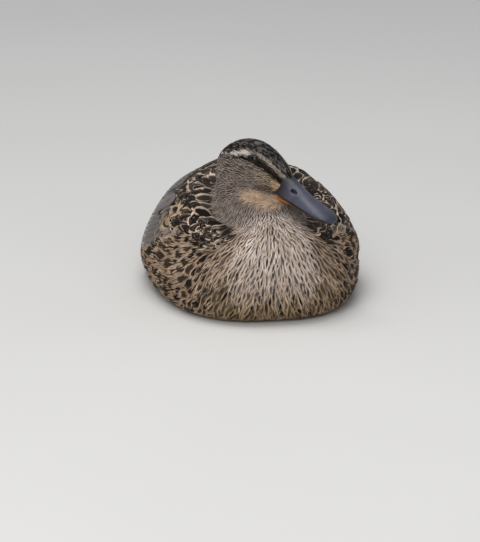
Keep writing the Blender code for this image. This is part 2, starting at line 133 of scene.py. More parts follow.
def got(tree, kind, inputs=None, socket=0, **settings):
    """What comes out of a new node."""
    return Value(tree, add(tree, kind, inputs, **settings).outputs[socket])


class Value:
    """What a node gives. Each sum written with it adds a Math node to the same tree."""

    def __init__(self, tree, socket):
        self.tree, self.socket = tree, socket

    def math(self, operation, *others):
        return got(self.tree, "ShaderNodeMath", dict(enumerate((self, *others))), operation=operation)

    def vector(self, operation, *others, socket=0):
        inputs = dict(enumerate((self, *others)))
        return got(self.tree, "ShaderNodeVectorMath", inputs, socket, operation=operation)

    def scaled(self, by):
        return got(self.tree, "ShaderNodeVectorMath", {0: self, "Scale": by}, operation="SCALE")

    def __rsub__(self, other):
        return got(self.tree, "ShaderNodeMath", {0: other, 1: self}, operation="SUBTRACT")

    __add__ = partialmethod(math, "ADD")
    __sub__ = partialmethod(math, "SUBTRACT")
    __mul__ = partialmethod(math, "MULTIPLY")
    __truediv__ = partialmethod(math, "DIVIDE")
    __pow__ = partialmethod(math, "POWER")


def vector_of(x, y, z=0.0):
    return got(x.tree, "ShaderNodeCombineXYZ", {0: x, 1: y, 2: z})


def split(vector):
    sockets = add(vector.tree, "ShaderNodeSeparateXYZ", {0: vector}).outputs
    return [Value(vector.tree, socket) for socket in sockets]

# %% Steps that most materials share
def new_material(name):
    material = bpy.data.materials.new(name)
    material.use_nodes = True
    material.node_tree.nodes.clear()
    return material, material.node_tree


def surfaced(material, **inputs):
    """Ends a material in one surface; its inputs are named with _ for a space."""
    inputs = {name.replace("_", " "): value for name, value in inputs.items()}
    surface = add(material.node_tree, "ShaderNodeBsdfPrincipled", inputs).outputs[0]
    add(material.node_tree, "ShaderNodeOutputMaterial", {"Surface": surface})
    return material


def field(tree, name, socket="Fac"):
    """A number, or with another socket a colour or vector, that the mesh carries."""
    return got(tree, "ShaderNodeAttribute", socket=socket, attribute_name=name)


def place_in(tree):
    return got(tree, "ShaderNodeTexCoord", socket="Object")


def noise(place, scale, detail=3.0, **more):
    """Clouds of about 1 / scale in size."""
    inputs = {"Vector": place, "Scale": scale, "Detail": detail, **more}
    return got(place.tree, "ShaderNodeTexNoise", inputs)


def step(value, low, high):
    """0 below low and 1 above high; the other way round where low is the higher."""
    inputs = {"Value": value, "From Min": low, "From Max": high}
    return got(value.tree, "ShaderNodeMapRange", inputs, interpolation_type="SMOOTHSTEP")


def blended(share, first, second):
    """Between two colours, given as hex codes or as what a node gives."""
    colours = [(*linear(colour), 1) if isinstance(colour, str) else colour for colour in (first, second)]
    inputs = {0: share, 6: colours[0], 7: colours[1]}
    return got(share.tree, "ShaderNodeMix", inputs, socket=2, data_type="RGBA")


def bumped(height, strength, distance):
    inputs = {"Height": height, "Strength": strength, "Distance": distance}
    return got(height.tree, "ShaderNodeBump", inputs)

# %% Meshes in and out of numpy
def new_mesh(name, places, faces):
    mesh = bpy.data.meshes.new(name)
    mesh.from_pydata(np.asarray(places).tolist(), [], faces)
    return mesh


def grid_faces(rows, columns):
    """Faces between rows of vertices that follow each other."""
    wide = columns + 1
    starts = (row * wide + column for row in range(rows) for column in range(columns))
    return [(a, a + 1, a + wide + 1, a + wide) for a in starts]


def corners(mesh, name="co"):
    values = np.zeros(len(mesh.vertices) * 3, np.float32)
    mesh.vertices.foreach_get(name, values)
    return values.reshape(-1, 3).astype(float)


def move_corners(mesh, places):
    mesh.vertices.foreach_set("co", places.astype(np.float32).ravel())
    mesh.update()


def keep_field(mesh, name, values):
    """Stores a number or a vector for each vertex."""
    values = np.asarray(values)
    whole = np.issubdtype(values.dtype, np.integer)
    kind = "FLOAT_VECTOR" if values.ndim > 1 else "INT" if whole else "FLOAT"
    stored = mesh.attributes.new(name, kind, "POINT").data
    number = np.int32 if whole else np.float32
    stored.foreach_set("vector" if values.ndim > 1 else "value", values.astype(number).ravel())


def reworked(mesh, change):
    """Passes a mesh through one bmesh step."""
    form = bmesh.new()
    form.from_mesh(mesh)
    change(form)
    form.to_mesh(mesh)
    form.free()


def cut_away(mesh, spare):
    """Deletes the vertices that are spare."""
    chosen = lambda form: [corner for corner, gone in zip(form.verts, spare) if gone]
    reworked(mesh, lambda form: bmesh.ops.delete(form, geom=chosen(form)))


def smooth(mesh):
    mesh.polygons.foreach_set("use_smooth", [True] * len(mesh.polygons))


def gathered(nodes):
    """Copies of frame solids in one bmesh."""
    form = bmesh.new()
    for node in nodes:
        form.from_mesh(frame["nodes"][node].data)
    return form


def relaxed(mesh, rounds, hold=None):
    """Smooths a mesh by moving each vertex towards its neighbours' middle, less where held."""
    edges = np.array([e.vertices[:] for e in mesh.edges])
    places = corners(mesh)
    count = np.maximum(np.bincount(edges.ravel(), minlength=len(places)), 1)[:, None]
    free = 0.5 if hold is None else 0.5 * (1 - hold)[:, None]
    for _ in range(rounds):
        sums = np.zeros_like(places)
        np.add.at(sums, edges[:, 0], places[edges[:, 1]])
        np.add.at(sums, edges[:, 1], places[edges[:, 0]])
        places += free * (sums / count - places)
    move_corners(mesh, places)

# %% Objects
def shown(name, mesh):
    """A new object in the scene, at the origin."""
    thing = bpy.data.objects.new(name, mesh)
    bpy.context.scene.collection.objects.link(thing)
    return thing


def evaluated_mesh(thing):
    """The object's mesh as its modifiers leave it; the object itself goes."""
    bpy.context.view_layer.update()
    depsgraph = bpy.context.evaluated_depsgraph_get()
    made = thing.evaluated_get(depsgraph)
    mesh = bpy.data.meshes.new_from_object(made, preserve_all_data_layers=True, depsgraph=depsgraph)
    bpy.data.objects.remove(thing)
    return mesh


def one_surface(name, nodes, voxel):
    """Frame solids as one even closed surface; each solid's loose triangles are merged first."""
    form = gathered(nodes)
    bmesh.ops.remove_doubles(form, verts=form.verts, dist=0.01 * MM)
    mesh = bpy.data.meshes.new(name)
    form.to_mesh(mesh)
    form.free()
    solids = shown(name, mesh)
    remesh = solids.modifiers.new("even", "REMESH")
    remesh.mode = "VOXEL"
    remesh.voxel_size = voxel
    return evaluated_mesh(solids)


def worn(piece, slot, *nodes, finish=None):
    """Puts a piece on the bird with its finish and hides the solids that it replaces; slot is not used."""
    mesh = piece.data
    if finish:
        mesh.materials.clear()
        mesh.materials.append(finish)
    smooth(mesh)
    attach(piece, "root")
    if nodes:
        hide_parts(*nodes)
    mesh.calc_loop_triangles()
    print(f"{piece.name}: {len(mesh.loop_triangles)} triangles")
    return piece

# %% [markdown]
# ## The bird's own directions
# A duck's head is turned and tipped, so its markings are simplest in the head's own directions: X runs
# along the bill, Y to her left and Z to the crown. The two eyes and the nail at the bill's tip are enough
# to find them again from the frame.

# %% Find the head's directions
# Where the eyes and the nail lie in them: along the bill, and up.
EYE_ALONG, EYE_UP = -24.4 * MM, 14.1 * MM
NAIL_ALONG, NAIL_UP = 53.5 * MM, -3.3 * MM


def centre_of(node):
    low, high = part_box(node)
    return (low + high) / 2


def head_directions():
    """The matrix from head places to the bird's, with its origin at the root of the bill."""
    left, right = centre_of("eye_left"), centre_of("eye_right")
    across = (left - right).normalized()
    gaze = centre_of("bill_nail") - (left + right) / 2
    gaze = (gaze - across * gaze.dot(across)).normalized()
    dip = math.atan2(EYE_UP - NAIL_UP, NAIL_ALONG - EYE_ALONG)
    forward = Matrix.Rotation(-dip, 3, across) @ gaze
    up = forward.cross(across)
    turn = Matrix((forward, across, up)).transposed()
    root = (left + right) / 2 - turn @ Vector((EYE_ALONG, 0, EYE_UP))
    return np.array(turn), np.array(root)


HEAD_TURN, BILL_ROOT = head_directions()


def in_head(places):
    return (places - BILL_ROOT) @ HEAD_TURN


def from_head(places):
    return np.asarray(places) @ HEAD_TURN.T + BILL_ROOT


print("bill root at", np.round(BILL_ROOT / MM, 1), "mm, forward", np.round(HEAD_TURN[:, 0], 2))

# %% [markdown]
# ## The skin
# Under her feathers a duck has one soft skin without seams. The solids of trunk, neck, head and wings are
# joined, and a voxel remesh turns them to one even surface, which also closes the thin cuts between them.
# It is then smoothed and drawn in by the depth of the coat: about 2 mm on the body and under 1 mm on the
# face. A sculpted mesh would do as well, but this one follows the frame by itself.

# %% Make the skin
FLESH = ("trunk", "neck", "head", "wing_left", "wing_right")
SKIN_VOXEL = 2.2 * MM
HELD = 0.8  # how much less the head is smoothed than the body
BODY_COAT, FACE_COAT = 2.3 * MM, 0.8 * MM
UNDER_BILL = 8.5  # how far in mm the skin goes on past the feathers' border, under the bill
HEAD_MIDDLE = np.array((-30, 0, 3)) * MM
HEAD_REACH = np.array((46, 33, 31)) * MM
# The neck lies drawn in on the shoulders, inside an oval that is seen from above.
NECK_MIDDLE, NECK_REACH = np.array((-2, -40)) * MM, np.array((39, 45)) * MM
FOLD_DEPTH, FOLD_HALF = 3.4 * MM, 5 / 40  # its half width is a share of the oval


def headness(places):
    """1 on the head and 0 on the neck and body."""
    return 1 - ramp(np.linalg.norm((in_head(places) - HEAD_MIDDLE) / HEAD_REACH, axis=1), 0.85, 1.12)


# Where the feathers end round the bill's root, in mm: by height, how far forward they reach on the sides,
# and by distance from the middle, how much further on the forehead.
BORDER = np.array((
    (-30, 6), (-7.5, 5), (-5.8, 1.5), (-4.3, -1.4), (-1.8, 1),
    (2.4, 3.4), (6.3, 3.1), (9.5, 2.7), (11, 3.2), (12, 6),
))
WEDGE = np.array(((0, 4.2), (1.8, 3.6), (3.2, 1.6), (4.9, 0.3), (6.5, 0)))


def past_border(places):
    """How far in mm a place is past the feathers' border on the bill; negative among the feathers."""
    x, y, z = (in_head(places) / MM).T
    y = np.abs(y)
    border = np.interp(z, *BORDER.T) + np.interp(y, *WEDGE.T) * ramp(z, 6, 9)
    # Cheeks beside the bill and the throat below it are never past the border.
    beside, below = ramp(y, 10.5, 13) * (1 - ramp(x, 6, 8)), ramp(-z, 8.5, 9.5)
    return x - np.minimum(border, 7) - 20 * beside - 200 * below


def neck_oval(places):
    """Below 1 over the drawn-in neck, 1 on its edge, above 1 on breast and shoulders."""
    return np.linalg.norm((places[:, :2] - NECK_MIDDLE) / NECK_REACH, axis=1)


skin_mesh = one_surface("skin", (*FLESH, "bill_upper"), SKIN_VOXEL)
relaxed(skin_mesh, 14, hold=HELD * headness(corners(skin_mesh)))
places, normals = corners(skin_mesh), corners(skin_mesh, "normal")
on_head = headness(places)
# A shallow fold parts the drawn-in neck from the shoulders on both sides.
fold = np.exp(-(((neck_oval(places) - 1) / FOLD_HALF) ** 2)) * ramp(places[:, 2], 68 * MM, 78 * MM)
fold *= ramp(np.abs(places[:, 0]), 14 * MM, 26 * MM)
depth = mixed(BODY_COAT, FACE_COAT, on_head) + FOLD_DEPTH * fold * (1 - on_head)
move_corners(skin_mesh, places - normals * depth[:, None])
relaxed(skin_mesh, 2, hold=HELD * on_head)
# Feathers start at the bill's root, so the skin reaches a little way under the bill and ends there.
cut_away(skin_mesh, past_border(corners(skin_mesh)) > UNDER_BILL)
smooth(skin_mesh)
skin = shown("skin", skin_mesh)
print("skin:", len(skin_mesh.polygons), "faces")

# %% [markdown]
# ## Which way the feathers lie
# Feathers point away from the bill: back over the head, down the neck, and from the throat outwards over
# the breast and the sides. On shoulders and back they point to the tail. Each of those flows runs away
# from one point, so five points and soft borders between them are enough for the whole bird.

# %% The lie of the coat
FACE_SOURCE = from_head(np.array((34, 0, 3)) * MM)
NECK_SOURCE = from_head(np.array((-26, 0, 12)) * MM)
BODY_SOURCE = np.array((0, -78, 82)) * MM
BACK_SOURCE = np.array((0, -130, 74)) * MM
FLANK_SOURCE = np.array((0, -170, 34)) * MM


def sideways(places):
    """How far round from the breast bone a place is, in degrees: 0 in front and 90 at the side."""
    return np.degrees(np.arctan2(np.abs(places[:, 0]), -(places[:, 1] + 20 * MM)))


def past_shoulder(places):
    """How far out a place is from the line where the neck leans on the shoulder, which slants outwards."""
    return np.abs(places[:, 0]) - 0.9 * (78 * MM - places[:, 2])


def lie_of_coat(places, normals):
    height = places[:, 2]
    on_neck = (1 - ramp(neck_oval(places), 0.75, 1.25)) * ramp(height, 62 * MM, 80 * MM)
    on_back = ramp(past_shoulder(places), 20 * MM, 32 * MM) * ramp(height, 52 * MM, 68 * MM)
    flow = unit(places - BODY_SOURCE)
    for source, share in (
        (FLANK_SOURCE, ramp(sideways(places), 40, 75)),
        (BACK_SOURCE, on_back),
        (NECK_SOURCE, on_neck),
        (FACE_SOURCE, headness(places)),
    ):
        flow = mixed(flow, unit(places - source), share)
    return along_surface(flow, normals)

# %% [markdown]
# ## Tracts
# Feathers grow in tracts that look alike: head, neck, breast, flanks, shoulders and back, wing coverts,
# belly, rump and undertail. The borders are lines on the bird that depend on where along the body a
# feather stands, so a short list of heights for each line is enough.

# %% The borders of the tracts
HEAD, NECK, BREAST, FLANK, MANTLE, COVERTS, BELLY, RUMP = range(8)
# By place along the body: the height where the flank ends above, and where the shoulder ends below.
FLANK_TOP = np.array(((-90, 58), (-30, 59), (0, 47), (30, 29), (80, 12), (120, 6), (170, 2))) * MM
MANTLE_FOOT = np.array(((-90, 75), (-83, 61), (-30, 64), (0, 62), (60, 66), (120, 55), (200, 40))) * MM
FLANK_TURN = 40  # how far round the flank starts, in degrees
WING_FRONT, SHOULDER_FRONT, SHOULDER_SIDE = -45 * MM, -40 * MM, 26 * MM
RUMP_FRONT, RUMP_FOOT, NECK_FOOT = 118 * MM, 30 * MM, 66 * MM
FACING_DOWN = -0.6  # the normal's height where the belly starts


def tract_of(places, normals):
    """The tract of each place; where two claim it, the later one here has it."""
    back, height = places[:, 1], places[:, 2]
    flank_top, mantle_foot = (np.interp(back, *line.T) for line in (FLANK_TOP, MANTLE_FOOT))
    behind = (back > SHOULDER_FRONT) | (past_shoulder(places) > SHOULDER_SIDE)
    tract = np.full(len(places), BREAST)
    for which, there in (
        (FLANK, (sideways(places) > FLANK_TURN) & (height < flank_top)),
        (COVERTS, (back > WING_FRONT) & (height >= flank_top)),
        (MANTLE, (height > mantle_foot) & behind),
        (RUMP, (back > RUMP_FRONT) & (height > RUMP_FOOT)),
        (BELLY, (normals[:, 2] < FACING_DOWN) | (back > RUMP_FRONT) & (height <= RUMP_FOOT)),
        (NECK, (neck_oval(places) < 1) & (height > NECK_FOOT)),
        (HEAD, headness(places) > 0.5),
    ):
        tract[there] = which
    return tract

# %% [markdown]
# ## Roots
# Feathers don't stand in a grid. Random points are thrown on the skin, and each is kept only when no kept
# one is closer than the gap wanted there. That gives an even and natural spread, and the gap can grow from
# 1.1 mm on the face to about 7 mm on the flanks.

# %% Throw the roots
THROWS = 6  # for each root that there is room for


def random_places(mesh, count, wanted, rng):
    """Random places and normals, even by area, on the faces that are wanted, and their area."""
    mesh.calc_loop_triangles()
    triangles = np.array([t.vertices[:] for t in mesh.loop_triangles])
    places, normals = corners(mesh), corners(mesh, "normal")
    middles = places[triangles].mean(axis=1)
    triangles = triangles[wanted(middles, unit(normals[triangles].mean(axis=1)))]
    a, b, c = (places[triangles[:, i]] for i in range(3))
    area = np.linalg.norm(np.cross(b - a, c - a), axis=1)
    chosen = triangles[rng.choice(len(triangles), count, p=area / area.sum())]
    weight = rng.random((count, 2))
    weight = np.where(weight.sum(axis=1, keepdims=True) > 1, 1 - weight, weight)
    weight = np.column_stack((1 - weight.sum(axis=1), weight))[:, :, None]
    places, normals = ((rows[chosen] * weight).sum(axis=1) for rows in (places, normals))
    return places, unit(normals), area.sum() / 2


def spread_out(places, gaps):
    """The indices of the places kept, in the order thrown, with no two closer than their gap."""
    cell = float(gaps.max())
    keys = np.floor(places / cell).astype(int).tolist()
    around = list(product((-1, 0, 1), repeat=3))
    spots, reach = places.tolist(), (gaps**2).tolist()
    grid, kept = {}, []
    for n, (i, j, k) in enumerate(keys):
        x, y, z = spots[n]
        near = (spot for di, dj, dk in around for spot in grid.get((i + di, j + dj, k + dk), ()))
        if all((x - u) ** 2 + (y - v) ** 2 + (z - w) ** 2 >= reach[n] for u, v, w in near):
            grid.setdefault((i, j, k), []).append((x, y, z))
            kept.append(n)
    return np.array(kept)


def seen_part(places, normals, reach):
    """Where the end of a feather shows: that far from its root, along its lie."""
    return places + lie_of_coat(places, normals) * np.reshape(reach, (-1, 1))


def thrown_roots(tract, gap_of, reach, seed):
    """Places, normals, lie and seen ends of one tract's feathers; reach is in gaps."""
    rng = np.random.default_rng(seed)

    def wanted(places, normals):
        shows = tract_of(seen_part(places, normals, reach * gap_of(places)), normals) == tract
        # Feathers of back and wings that start under the neck aren't rooted on top of it.
        free = tract in (HEAD, NECK, BREAST) or (neck_oval(places) > 0.95) | (places[:, 2] < NECK_FOOT)
        return shows & free

    some, _, area = random_places(skin_mesh, 400, wanted, rng)
    tries = int(THROWS * area / np.mean(gap_of(some) ** 2))
    places, normals, _ = random_places(skin_mesh, tries, wanted, rng)
    kept = spread_out(places, gap_of(places))
    places, normals = places[kept], normals[kept]
    seen = seen_part(places, normals, reach * gap_of(places))
    return places, normals, lie_of_coat(places, normals), seen, rng

# %% [markdown]
# ## Vanes
# A body feather is a soft vane whose barbs part into locks, and a wing or back feather is a firm vane with
# a clean round edge. Both are modelled flat and 1 unit long, and each carries how far across and along the
# vane a vertex is. The markings are drawn from those two numbers, so one small mesh serves thousands of
# feathers. A few variants with other random ends keep them from looking stamped.

# %% Soft vanes
FIELDS_OF_VANE = ("across", "along", "ruffle", "under")


def vane_mesh(name, places, faces, fields):
    mesh = new_mesh(name, [(x, y, 0) for x, y in places], faces)
    for kind, values in zip(FIELDS_OF_VANE, np.array(fields, float).T):
        keep_field(mesh, kind, values)
    smooth(mesh)
    return bpy.data.objects.new(name, mesh)


def width_at(along):
    """Half the width of a vane of width 1: a narrow root that is full from the middle on."""
    return 0.5 * (0.3 + 0.7 * math.sin(min(1, along / 0.55) * math.pi / 2))


def soft_vane(name, locks, rows, seed):
    """Pointed locks side by side, spreading from the root, the outer ones shorter."""
    rng = np.random.default_rng(seed)
    places, faces, fields = [], [], []
    for lock in range(locks):
        middle = -1 + (2 * lock + 1) / locks + rng.uniform(-0.3, 0.3) / locks
        length = (1 - 0.34 * middle**2) * rng.uniform(0.84, 1.0)
        lift, bend = rng.uniform(-1, 1), rng.uniform(-0.16, 0.16)
        first = len(places)
        for row in range(rows + 1):
            share = row / rows
            at = share * length
            half = 1.5 / locks * (1 - share**2.2)
            for side in (-1, 1) if row < rows else (0,):
                u = middle + side * half
                places.append(((u + bend * share**2) * width_at(at), at))
                fields.append((u, at, lift, 0))
        for a in range(first, first + 2 * (rows - 1), 2):
            faces.append((a, a + 1, a + 3, a + 2))
        last = first + 2 * (rows - 1)
        faces.append((last, last + 1, last + 2))
    return vane_mesh(name, places, faces, fields)

# %% Firm vanes
def end_of_round(u, point):
    """Where a vane's round end is, across the vane; point is how far its sides fall back."""
    return 1 - point * (1 - math.sqrt(max(0, 1 - (0.97 * u) ** 2)))


def firm_vane(name, columns, rows, point, seed):
    """One sheet with a rounded end, a little uneven along its edge."""
    rng = np.random.default_rng(seed)
    places, fields = [], []
    for row in range(rows + 1):
        for column in range(columns + 1):
            u = -1 + 2 * column / columns
            end = end_of_round(u, point)
            if row == rows:
                end *= rng.uniform(0.955, 1)
            at = end * (row / rows) ** 0.8
            places.append((u * width_at(at), at))
            fields.append((u, at, 0, 0))
    return vane_mesh(name, places, grid_faces(rows, columns), fields)


def quill_vane(name, columns, rows, point, narrow, _):
    """A long closed vane with an upper and an under side, joined along their rims; all are alike."""
    places, fields = [], []
    for under in (0, 1):
        for row in range(rows + 1):
            for column in range(columns + 1):
                u = -1 + 2 * column / columns
                at = end_of_round(u, point) * row / rows
                taper = 1 - narrow * max(0, (at - 0.5) / 0.5) ** 2
                half = 0.5 * (0.35 + 0.65 * min(1, at / 0.25)) * taper
                rim = row in (0, rows) or column in (0, columns)
                places.append((u * half, at))
                fields.append((u, at, 0, 0.5 if rim else under))
    side = len(places) // 2
    faces = []
    for a, b, c, d in grid_faces(rows, columns):
        faces += [(a, b, c, d), (a + side, d + side, c + side, b + side)]
    vane = vane_mesh(name, places, faces, fields)
    rim = lambda form: [corner for corner in form.verts if corner.is_boundary]
    reworked(vane.data, lambda form: bmesh.ops.remove_doubles(form, verts=rim(form), dist=1e-5))
    return vane


VANE_SETS = []


def vane_set(name, make, *sizes):
    """Three variants of a vane in a collection of their own."""
    collection = bpy.data.collections.new(name)
    for variant in range(3):
        collection.objects.link(make(f"{name}_{variant}", *sizes, 10 + variant))
    VANE_SETS.append(collection)
    return collection


DOWNY = vane_set("downy_tuft", soft_vane, 3, 2)
SOFT = vane_set("soft_vane", soft_vane, 9, 3)
FIRM = vane_set("firm_vane", firm_vane, 8, 4, 0.3)
ROUND_QUILL = vane_set("round_quill", quill_vane, 6, 12, 0.16, 0.25)
POINTED_QUILL = vane_set("pointed_quill", quill_vane, 6, 14, 0.1, 0.7)

# %% [markdown]
# ## Laying the feathers
# One Geometry Nodes tree lays every tract. It stands a vane on each root, turned to lie along the flow,
# makes the instances real, and then drops each vertex onto the bed below. The height over the bed grows
# along the vane, so that each feather ends on top of the roots behind it, as slates on a roof do. Bending
# each feather by hand would never fit so well.

# %% Build the tree
PATCH = 0.003  # the room that one feather takes on its bake map
QUILL_THICKNESS = 0.35 * MM
PRESSED = 0.1 * MM  # how near the floor feathers can come


def laying_tree():
    tree = bpy.data.node_groups.new("lay feathers", "GeometryNodeTree")
    sockets = {"Roots": "Geometry", "Vanes": "Collection", "Bed": "Object", "Patch": "Float",
               "Thickness": "Float", "Finish": "Material"}
    for title, kind in sockets.items():
        tree.interface.new_socket(title, in_out="INPUT", socket_type="NodeSocket" + kind)
    tree.interface.new_socket("Plumage", in_out="OUTPUT", socket_type="NodeSocketGeometry")
    given = add(tree, "NodeGroupInput").outputs

    def stored(name, kind="FLOAT_VECTOR"):
        return got(tree, "GeometryNodeInputNamedAttribute", {"Name": name}, data_type=kind)

    stood = got(tree, "FunctionNodeAlignRotationToVector", {"Vector": stored("out")}, axis="Z")
    laid = {"Rotation": stood, "Vector": stored("lie")}
    laid = got(tree, "FunctionNodeAlignRotationToVector", laid, axis="Y", pivot_axis="Z")
    vanes = {"Collection": given["Vanes"], "Separate Children": True, "Reset Children": True}
    placed = {
        "Points": given["Roots"],
        "Instance": got(tree, "GeometryNodeCollectionInfo", vanes),
        "Pick Instance": True,
        "Instance Index": stored("variant", "INT"),
        "Rotation": laid,
        "Scale": stored("size"),
    }
    placed = got(tree, "GeometryNodeInstanceOnPoints", placed)
    real = got(tree, "GeometryNodeRealizeInstances", {"Geometry": placed})

    bed = got(tree, "GeometryNodeObjectInfo", {"Object": given["Bed"]}, "Geometry")
    here = got(tree, "GeometryNodeInputPosition")

    def on_bed(name):
        inputs = {"Mesh": bed, "Value": stored(name), "Sample Position": here}
        return got(tree, "GeometryNodeSampleNearestSurface", inputs, data_type="FLOAT_VECTOR")

    across, along, ruffle, under = (stored(name, "FLOAT") for name in FIELDS_OF_VANE)
    start, rise, bulge = split(stored("relief"))
    arch = (1.0 - across * across) * (along * -0.6 + 1.0)
    uneven = ruffle * along * 0.6
    height = rise * along + start + bulge * (arch + uneven) - under * given["Thickness"]
    at = on_bed("place").vector("ADD", on_bed("out_bed").scaled(height))
    # Nothing goes through the floor: what she sits on is pressed flat.
    at = at.vector("MAXIMUM", (-1, -1, PRESSED))
    dropped = got(tree, "GeometryNodeSetPosition", {"Geometry": real, "Position": at})

    spot = vector_of(across * 0.5, along - 0.5).vector("MULTIPLY", given["Patch"])
    spot = spot.vector("ADD", stored("root_spot"))
    mapped = {"Geometry": dropped, "Name": "OFBake", "Value": spot}
    mapped = got(tree, "GeometryNodeStoreNamedAttribute", mapped, data_type="FLOAT2", domain="CORNER")
    done = got(tree, "GeometryNodeSetMaterial", {"Geometry": mapped, "Material": given["Finish"]})
    add(tree, "NodeGroupOutput", {"Plumage": done})
    return tree


LAY = laying_tree()
keep_field(skin_mesh, "place", corners(skin_mesh))
keep_field(skin_mesh, "out_bed", corners(skin_mesh, "normal"))

# %% A function lays one tract
SPENT = ("out", "lie", "size", "relief", "root_spot", "variant", "ruffle", "under")


def lay_tract(name, vanes, finish, slot, places, bed, rng, **fields):
    """Feathers at the given places, as one plain mesh that rides on the bird."""
    fields["variant"] = rng.integers(0, 3, len(places))
    fields["seed"] = rng.random(len(places))
    roots = new_mesh(name + "_roots", places, [])
    for kind, values in fields.items():
        keep_field(roots, kind, values)
    growing = shown(name + "_roots", roots)
    modifier = growing.modifiers.new("lay", "NODES")
    modifier.node_group = LAY
    given = {"Vanes": vanes, "Bed": bed, "Patch": PATCH, "Thickness": QUILL_THICKNESS, "Finish": finish}
    for socket in LAY.interface.items_tree:
        if socket.name in given:
            modifier[socket.identifier] = given[socket.name]
    mesh = evaluated_mesh(growing)
    for kind in SPENT:
        mesh.attributes.remove(mesh.attributes[kind])
    print(len(places), "feathers:", end=" ")
    return worn(shown(name, mesh), slot)

# %% [markdown]
# ## What a feather looks like close to
# Feathers are keratin: a matt, slightly silky horn. Melanin makes the dark parts of a vane, and the plain
# buff parts are left between. Every marking of a hen mallard is a drop or a U that follows the vane's
# round end, so the shader measures how near the end a place is and colours a disc and a ring. Which disc
# and ring, and both colours, come with each feather from fields of place.

# %% The feather's finish
MARK_START = 0.42  # along the vane, where the round shape of the markings begins


def feather_finish(name, barbs, roughness, sheen, ragged, soft, base=0.5, gloss=0.08, askew=0.0):
    """Keratin vane: pale ground, dark drop and ring, fine barbs slanting from the shaft.

    barbs: how many lines along the vane; ragged and soft: how uneven and how blurred the markings' borders
    are; base: how light the root stays under its painted shade; askew: how far off the shaft the markings
    may lie."""
    material, tree = new_material(name)
    across, along, seed, slim = (field(tree, kind) for kind in ("across", "along", "seed", "slim"))

    def grown(spread, stretch, seeds, scale, detail):
        """Noise that runs along the barbs and differs from feather to feather."""
        return noise(vector_of(across * spread, along * stretch, seed * seeds), scale, detail)

    cloud, strand = grown(1.6, 3.2, 90.0, 1.3, 2.0), grown(7.0, 1.5, 70.0, 1.0, 3.0)
    side = ((seed - 0.5) * askew + across).math("ABSOLUTE")
    ahead = ((along - MARK_START) / (1 - MARK_START)).math("MAXIMUM", 0.0)
    rim = ((side * slim) ** 2.0 + ahead**2.0).math("SQRT")
    rim = (cloud - 0.5 + (strand - 0.5) * 0.8) * ragged + rim
    disc_end, ring_start, ring_end = split(field(tree, "bands", "Vector"))
    disc = step(rim, disc_end + soft, disc_end - soft)
    ring = step(rim, ring_start - soft, ring_start + soft) * step(rim, ring_end + soft, ring_end - soft)
    dark = disc.math("MAXIMUM", ring) * field(tree, "depth")
    colour = blended(dark, field(tree, "ground", "Color"), field(tree, "mark", "Color"))

    barb = ((side * -0.35 + along) * (barbs * 2 * math.pi)).math("SINE")
    light = barb * 0.03 + (step(strand, 0.3, 0.7) * 0.34 + 0.83)
    # Painted shade: each vane darkens towards its root, where the feathers lying over it would shade it.
    light = light * (step(along, 0.35, 0.95) * (1 - base) + base)
    return surfaced(
        material,
        Base_Color=colour.scaled(light),
        Normal=bumped(barb * 0.4 + strand, 0.4, 0.2 * MM),
        Roughness=roughness,
        IOR=1.55,
        Specular_IOR_Level=gloss,
        Sheen_Weight=sheen,
        Sheen_Roughness=0.5,
    )


# Short hair-like down with blurred streaks, matt as felt, so that face and neck look furry.
FACE_DOWN = feather_finish("face down keratin", 3, 0.85, 0.01, ragged=0.3, soft=0.12, base=0.62)
# Loose vanes with ragged drops and soft borders, which give breast and belly their streaked, warm look.
SOFT_KERATIN = feather_finish("soft contour feather keratin", 9, 0.8, 0.01, ragged=0.55, soft=0.1,
                              base=0.72)
# Closed vanes with crisp pale edges, a little shinier, so that the back looks scaled.
FIRM_KERATIN = feather_finish("firm vane keratin", 22, 0.6, 0.01, ragged=0.3, soft=0.05, base=0.6,
                              askew=0.5)
# Long stiff vanes with fine close barbs and a low silky shine.
QUILL_KERATIN = feather_finish("flight quill keratin", 90, 0.5, 0.02, ragged=0.12, soft=0.035, base=0.8,
                               gloss=0.2)

# %% [markdown]
# ## Where a feather goes on its bake map
# The colours of each piece can be baked to a flat map. Each feather gets its own patch there, placed
# by where its root is on the unrolled skin: how far round, and how far from the front to the back.

# %% Unroll the skin
BODY_MIDDLE = np.array((0, 10, 38)) * MM
BODY_SHAPE = np.array((1, 0.6, 1))
MAP_MARGIN = 0.02


def unrolled(aside, up, forward):
    """Turn about the long axis, and angle from its front end, inside the map's margin."""
    turn = np.arctan2(aside, up) / (2 * np.pi) + 0.5
    back = np.arctan2(np.hypot(aside, up), forward) / np.pi
    turn, back = (MAP_MARGIN + (1 - 2 * MAP_MARGIN) * share for share in (turn, back))
    return np.column_stack((turn, back, np.zeros(len(turn))))


def spot_on_body(places):
    x, y, z = ((places - BODY_MIDDLE) * BODY_SHAPE).T
    return unrolled(x, z, -y)


def spot_on_head(places):
    x, y, z = (in_head(places) - HEAD_MIDDLE).T
    return unrolled(y, z, x)

# %% [markdown]
# ## Looks
# A look is three things: the colour of the pale ground, the colour of the mark, and how far the mark
# reaches over the vane. Looks are painted over each other like coats, each with a share from 0 to 1 that
# depends on place, so tracts run into each other softly as they do on the bird.

# %% Paint looks over each other
def painted(count, *coats):
    """Ground colour, mark colour and mark size for each feather; later coats cover earlier ones."""
    ground, mark, core = np.zeros((count, 3)), np.zeros((count, 3)), np.zeros(count)
    for (pale, dark, size), share in coats:
        share = np.broadcast_to(share, count)
        ground = mixed(ground, linear(pale), share)
        mark = mixed(mark, linear(dark), share)
        core = core + (size - core) * share
    return ground, mark, core


def varied(colour, rng, by):
    """Each feather a little lighter or darker than its neighbours."""
    return colour * (1 + rng.uniform(-by, by, (len(colour), 1)))


def columns(count, *values):
    """Numbers or rows of numbers side by side, one row for each feather."""
    return np.column_stack([np.broadcast_to(value, count) for value in values])


